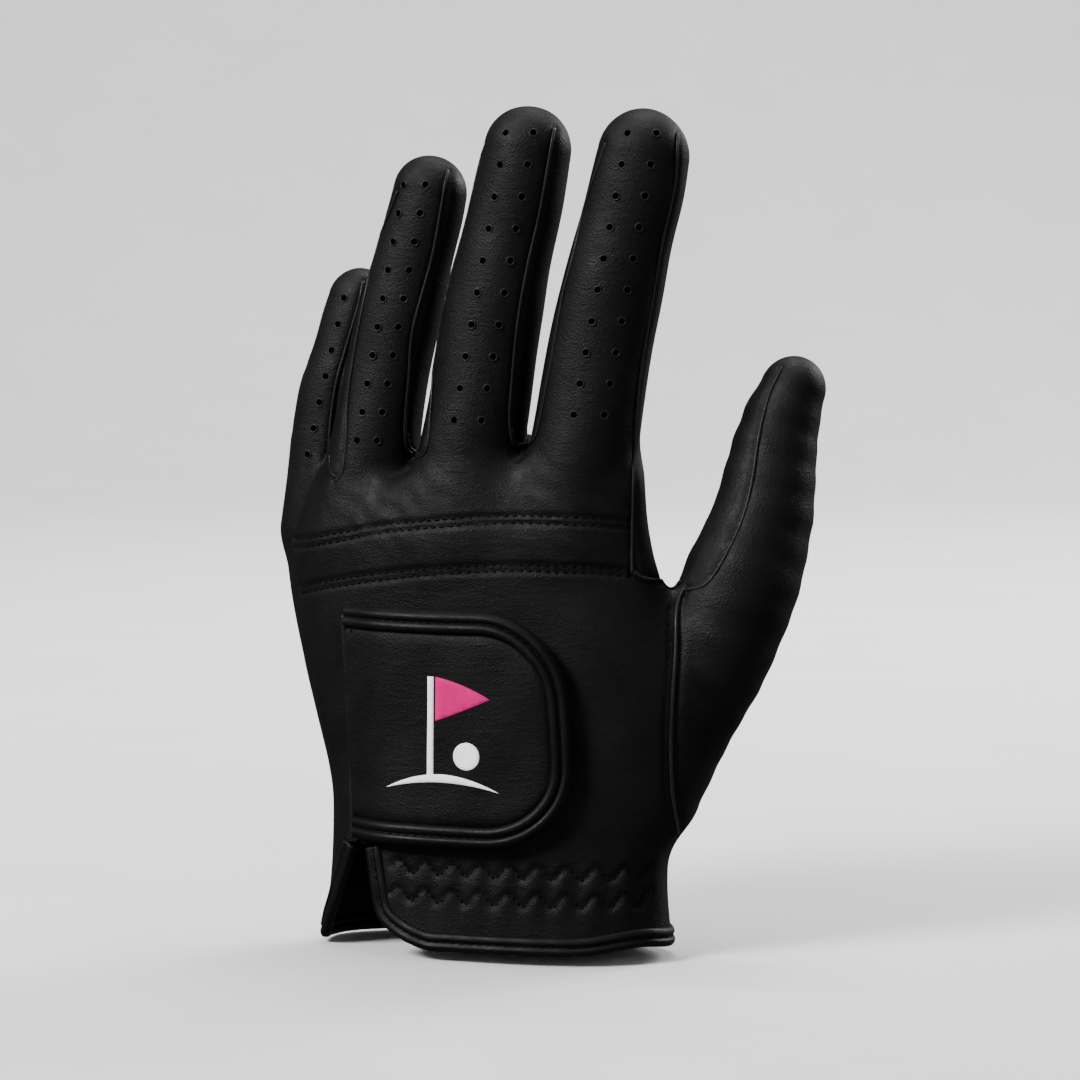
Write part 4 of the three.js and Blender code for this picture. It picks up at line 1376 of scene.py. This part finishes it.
def add_fasteners():
    """The loop patch on the back and the hook patch under the tab."""
    made = sheet_object("loop_backing", patch_surface(1.0, 0.04), (60, 50), 0.7)
    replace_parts(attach(dress(made, "loop_tape"), "hand"), "loop_patch")
    made = make_object("loop_pile", *scatter_arcs(0.95, 0.95, 0.32, 0.055, math.pi, 1))
    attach(dress(made, "loop_tape"), "hand")
    made = sheet_object("hook_backing", patch_surface(2.7, 0.02), (60, 50), 0.8)
    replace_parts(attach(dress(made, "hook_tape"), "closure_tab"), "hook_patch")
    made = make_object("hook_rows", *scatter_arcs(1.95, 1.3, 0.3, 0.08, 0.75 * math.pi, -1))
    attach(dress(made, "hook_tape"), "closure_tab")


def add_elastics():
    """The gathered elastics inside the wrist."""
    for name, height in ELASTICS.items():
        def surface(s, t, depth, height=height):
            z = height + ELASTIC_WIDTH * (t - 0.5)
            first = slit_edges(z)[0] + 0.14
            angle = first + (math.radians(-29) - first) * s
            gather = 0.22 * np.sin(s * 2 * np.pi * 15) + 0.06 * np.sin(t * 40)
            return palm_point(angle, z, -LEATHER - 0.6 + gather - depth)

        made = sheet_object("elastic_" + name, surface, (260, 24), 0.7)
        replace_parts(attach(dress(made, "elastic_tape"), "hand"), "wrist_elastic_" + name)


# ---------- the emblem ----------

def curve_2d(start, control, end, count=14):
    """A curve from start to end that bends towards control."""
    t = np.linspace(0, 1, count)[:, None]
    start, control, end = (np.array(p, float) for p in (start, control, end))
    return (1 - t) ** 2 * start + 2 * t * (1 - t) * control + t**2 * end


def emblem_outlines():
    """Outline and slot of each part of the emblem: a flag stick on a green, its pennant, a ball."""
    stick = np.vstack([
        [(-3.8, 15)],
        curve_2d((-3.8, -9.4), (-9, -10), (-15, -13.2)),
        curve_2d((-15, -13.2), (0, -9), (15, -13.2))[1:],
        curve_2d((15, -13.2), (6, -8.6), (-2.2, -9.2))[1:],
        [(-2.2, 15)],
    ])
    pennant = np.vstack([
        curve_2d((-1.7, 15), (5, 14), (12.5, 9.8)),
        curve_2d((12.5, 9.8), (5, 6.4), (-1.7, 4))[1:],
    ])
    turn = np.linspace(0, 2 * np.pi, 40, endpoint=False)
    ball = np.stack([6.5 + 3.4 * np.cos(turn), -4.4 + 3.4 * np.sin(turn)], 1)
    return {
        "stick": (stick, "white_print"),
        "pennant": (pennant, "pink_print"),
        "ball": (ball, "white_print"),
    }


def closed_even(outline, step):
    """A closed outline with points about every step along it."""
    loop = np.vstack([outline, outline[:1]])
    pieces = []
    for a, b in zip(loop[:-1], loop[1:]):
        count = max(1, int(np.linalg.norm(b - a) / step))
        pieces.append(a + (b - a) * np.linspace(0, 1, count, endpoint=False)[:, None])
    return np.vstack(pieces)


def inside(points, outline):
    """Which points lie inside a closed outline."""
    x, y = points[:, :1], points[:, 1:]
    ax, ay = outline.T
    bx, by = np.roll(outline, -1, axis=0).T
    crosses = (ay > y) != (by > y)
    reach = np.where(by == ay, 1.0, by - ay)
    return (crosses & (x < (bx - ax) * (y - ay) / reach + ax)).sum(1) % 2 == 1


def distance_to_points(points, others):
    """Distance from each point to the nearest of a few others."""
    return np.sqrt(((points[:, None] - others[None]) ** 2).sum(-1)).min(1)


def add_emblem():
    """A raised print of each emblem outline, bent onto the tab."""
    for name, (outline, slot) in emblem_outlines().items():
        edge = closed_even(outline, 0.7)
        low, high = edge.min(0), edge.max(0)
        grid = np.stack(np.meshgrid(np.arange(low[0], high[0], 1.0), np.arange(low[1], high[1], 1.0)), -1)
        grid = grid.reshape(-1, 2)
        filling = grid[inside(grid, edge) & (distance_to_points(grid, edge) > 0.4)]
        flat = np.vstack([edge, filling])
        rim = [(k, (k + 1) % len(edge)) for k in range(len(edge))]
        found, _, faces, _, _, _ = delaunay_2d_cdt(
            [Vector(p) for p in flat.tolist()], rim, [list(range(len(edge)))], 1, 1e-5
        )
        flat = np.array([tuple(p) for p in found])
        x, z = EMBLEM_CENTRE[0] + flat[:, 0], EMBLEM_CENTRE[1] + flat[:, 1]
        lift = TAB_LIFT + TAB_THICKNESS + 0.5
        angle = back_angle(x, z, lift)
        base = palm_point(angle, z, lift)
        out = slope(base, palm_distance)
        puff = 0.12 + 0.12 * (1 - np.exp(-((distance_to_points(flat, edge) / 0.5) ** 2)))
        top = base + out * (tab_wave(base) + puff)[:, None]
        under = base + out * (tab_wave(base) - 0.25)[:, None]
        count = len(flat)
        sides = [(b, a, a + count, b + count) for a, b in border_of(faces)]
        closed = list(faces) + [tuple(v + count for v in reversed(f)) for f in faces] + sides
        made = make_object("emblem_" + name, np.concatenate([top, under]), closed)
        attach(dress(made, slot), "closure_tab")
        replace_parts(made, "tab_emblem_" + name)


def border_of(faces):
    """Edges that only one face has."""
    edges = {(f[k], f[(k + 1) % len(f)]) for f in faces for k in range(len(f))}
    return [(a, b) for a, b in edges if (b, a) not in edges]


# ---------- stage, in metres ----------

FLOOR = 0.0022  # just under the hem
FLAT_REACH = 1.5
# name, place, size, watts
LAMPS = [
    ("key", (-0.8, -0.95, 1.1), 0.6, 44),
    ("fill", (1.1, -1.2, 0.5), 1.0, 2),
    ("top", (0.1, 0.15, 1.3), 0.9, 9),
    ("backdrop", (0.0, 0.5, 1.4), 0.8, 44),
    ("palm", (0.9, 1.3, 0.9), 0.8, 24),
]
CAMERA_LENS = 119.8
CAMERA_TARGET = np.array([0.0096, 0.0028, 0.1058])
CAMERA_DISTANCE = 0.9
CAMERA_RISE = math.radians(5)


def add_floor():
    """A flat floor whose edge sweeps up into a wall on every side."""
    profile = [(0.5, 0.0), (1.0, 0.0), (FLAT_REACH, 0.0)]
    for turn in np.linspace(0, math.pi / 2, 17)[1:]:
        profile.append((FLAT_REACH + 1.3 * math.sin(turn), 1.6 * (1 - math.cos(turn))))
    profile.append((FLAT_REACH + 1.3, 2.4))
    around = 64
    points = [(0, 0, FLOOR)]
    for reach, rise in profile:
        for turn in np.linspace(0, 2 * math.pi, around, endpoint=False):
            points.append((reach * math.cos(turn), reach * math.sin(turn), FLOOR + rise))
    faces = [(0, 1 + k, 1 + (k + 1) % around) for k in range(around)]
    for quad in grid_faces(len(profile), around, closed=True):
        faces.append(tuple(1 + k for k in (quad[0], quad[3], quad[2], quad[1])))
    floor = make_object("floor", np.array(points) / MM, faces)
    paint = Paint("pale floor", 0.85, 0.2)
    paint.colour(paint.ramp(paint.noise(60, 3), 0.3, 0.7, (0.70, 0.70, 0.70), (0.73, 0.73, 0.725)))
    paint.bump(paint.noise(1.2, 2), 0.02)
    floor.data.materials.append(paint.material)
    floor.visible_glossy = False
    return floor


def add_lamp(name, place, size, power):
    """A round lamp that points at the glove or, for the backdrop's, at the wall behind it."""
    light = bpy.data.lights.new(name, "AREA")
    light.shape = "DISK"
    light.size = size
    light.energy = power
    lamp = bpy.data.objects.new(name, light)
    lamp.location = place
    target = (0, 2.0, 0.5) if name == "backdrop" else (0.01, 0, 0.1)
    aim = Vector(target) - Vector(place)
    lamp.rotation_euler = aim.to_track_quat("-Z", "Y").to_euler()
    bpy.context.scene.collection.objects.link(lamp)
    return lamp


def light_room():
    """Soft bluish light from everywhere."""
    world = bpy.data.worlds.new("soft room")
    world.use_nodes = True
    world.node_tree.nodes["Background"].inputs["Color"].default_value = (0.9, 0.95, 1.0, 1)
    world.node_tree.nodes["Background"].inputs["Strength"].default_value = 0.13
    bpy.context.scene.world = world


def add_camera():
    """The photograph's camera, square to the facing coordinates and a little above."""
    lens = bpy.data.cameras.new("camera")
    lens.lens = CAMERA_LENS
    camera = bpy.data.objects.new("camera", lens)
    back_off = CAMERA_DISTANCE * math.cos(CAMERA_RISE) * FACING_AWAY
    up = np.array([0, 0, CAMERA_DISTANCE * math.sin(CAMERA_RISE)])
    camera.location = CAMERA_TARGET - back_off + up
    camera.rotation_euler = Vector(back_off - up).to_track_quat("-Z", "Y").to_euler()
    bpy.context.scene.collection.objects.link(camera)
    bpy.context.scene.camera = camera


def add_stage():
    """A pale round studio, its lamps and its camera."""
    staged = [add_floor()]
    for lamp in LAMPS:
        staged.append(add_lamp(*lamp))
    light_room()
    add_camera()


# ---------- build ----------

SEAM_LINES = seam_lines()
add_leather(leather_skin(SEAM_LINES))
add_perforation_rims()
add_finger_seams()
add_hand_seams()
add_elastic_stitching()
add_cuff_binding()
add_tab_binding()
add_tab_panel()
add_tab_seam()
add_fasteners()
add_elastics()
add_emblem()
add_stage()
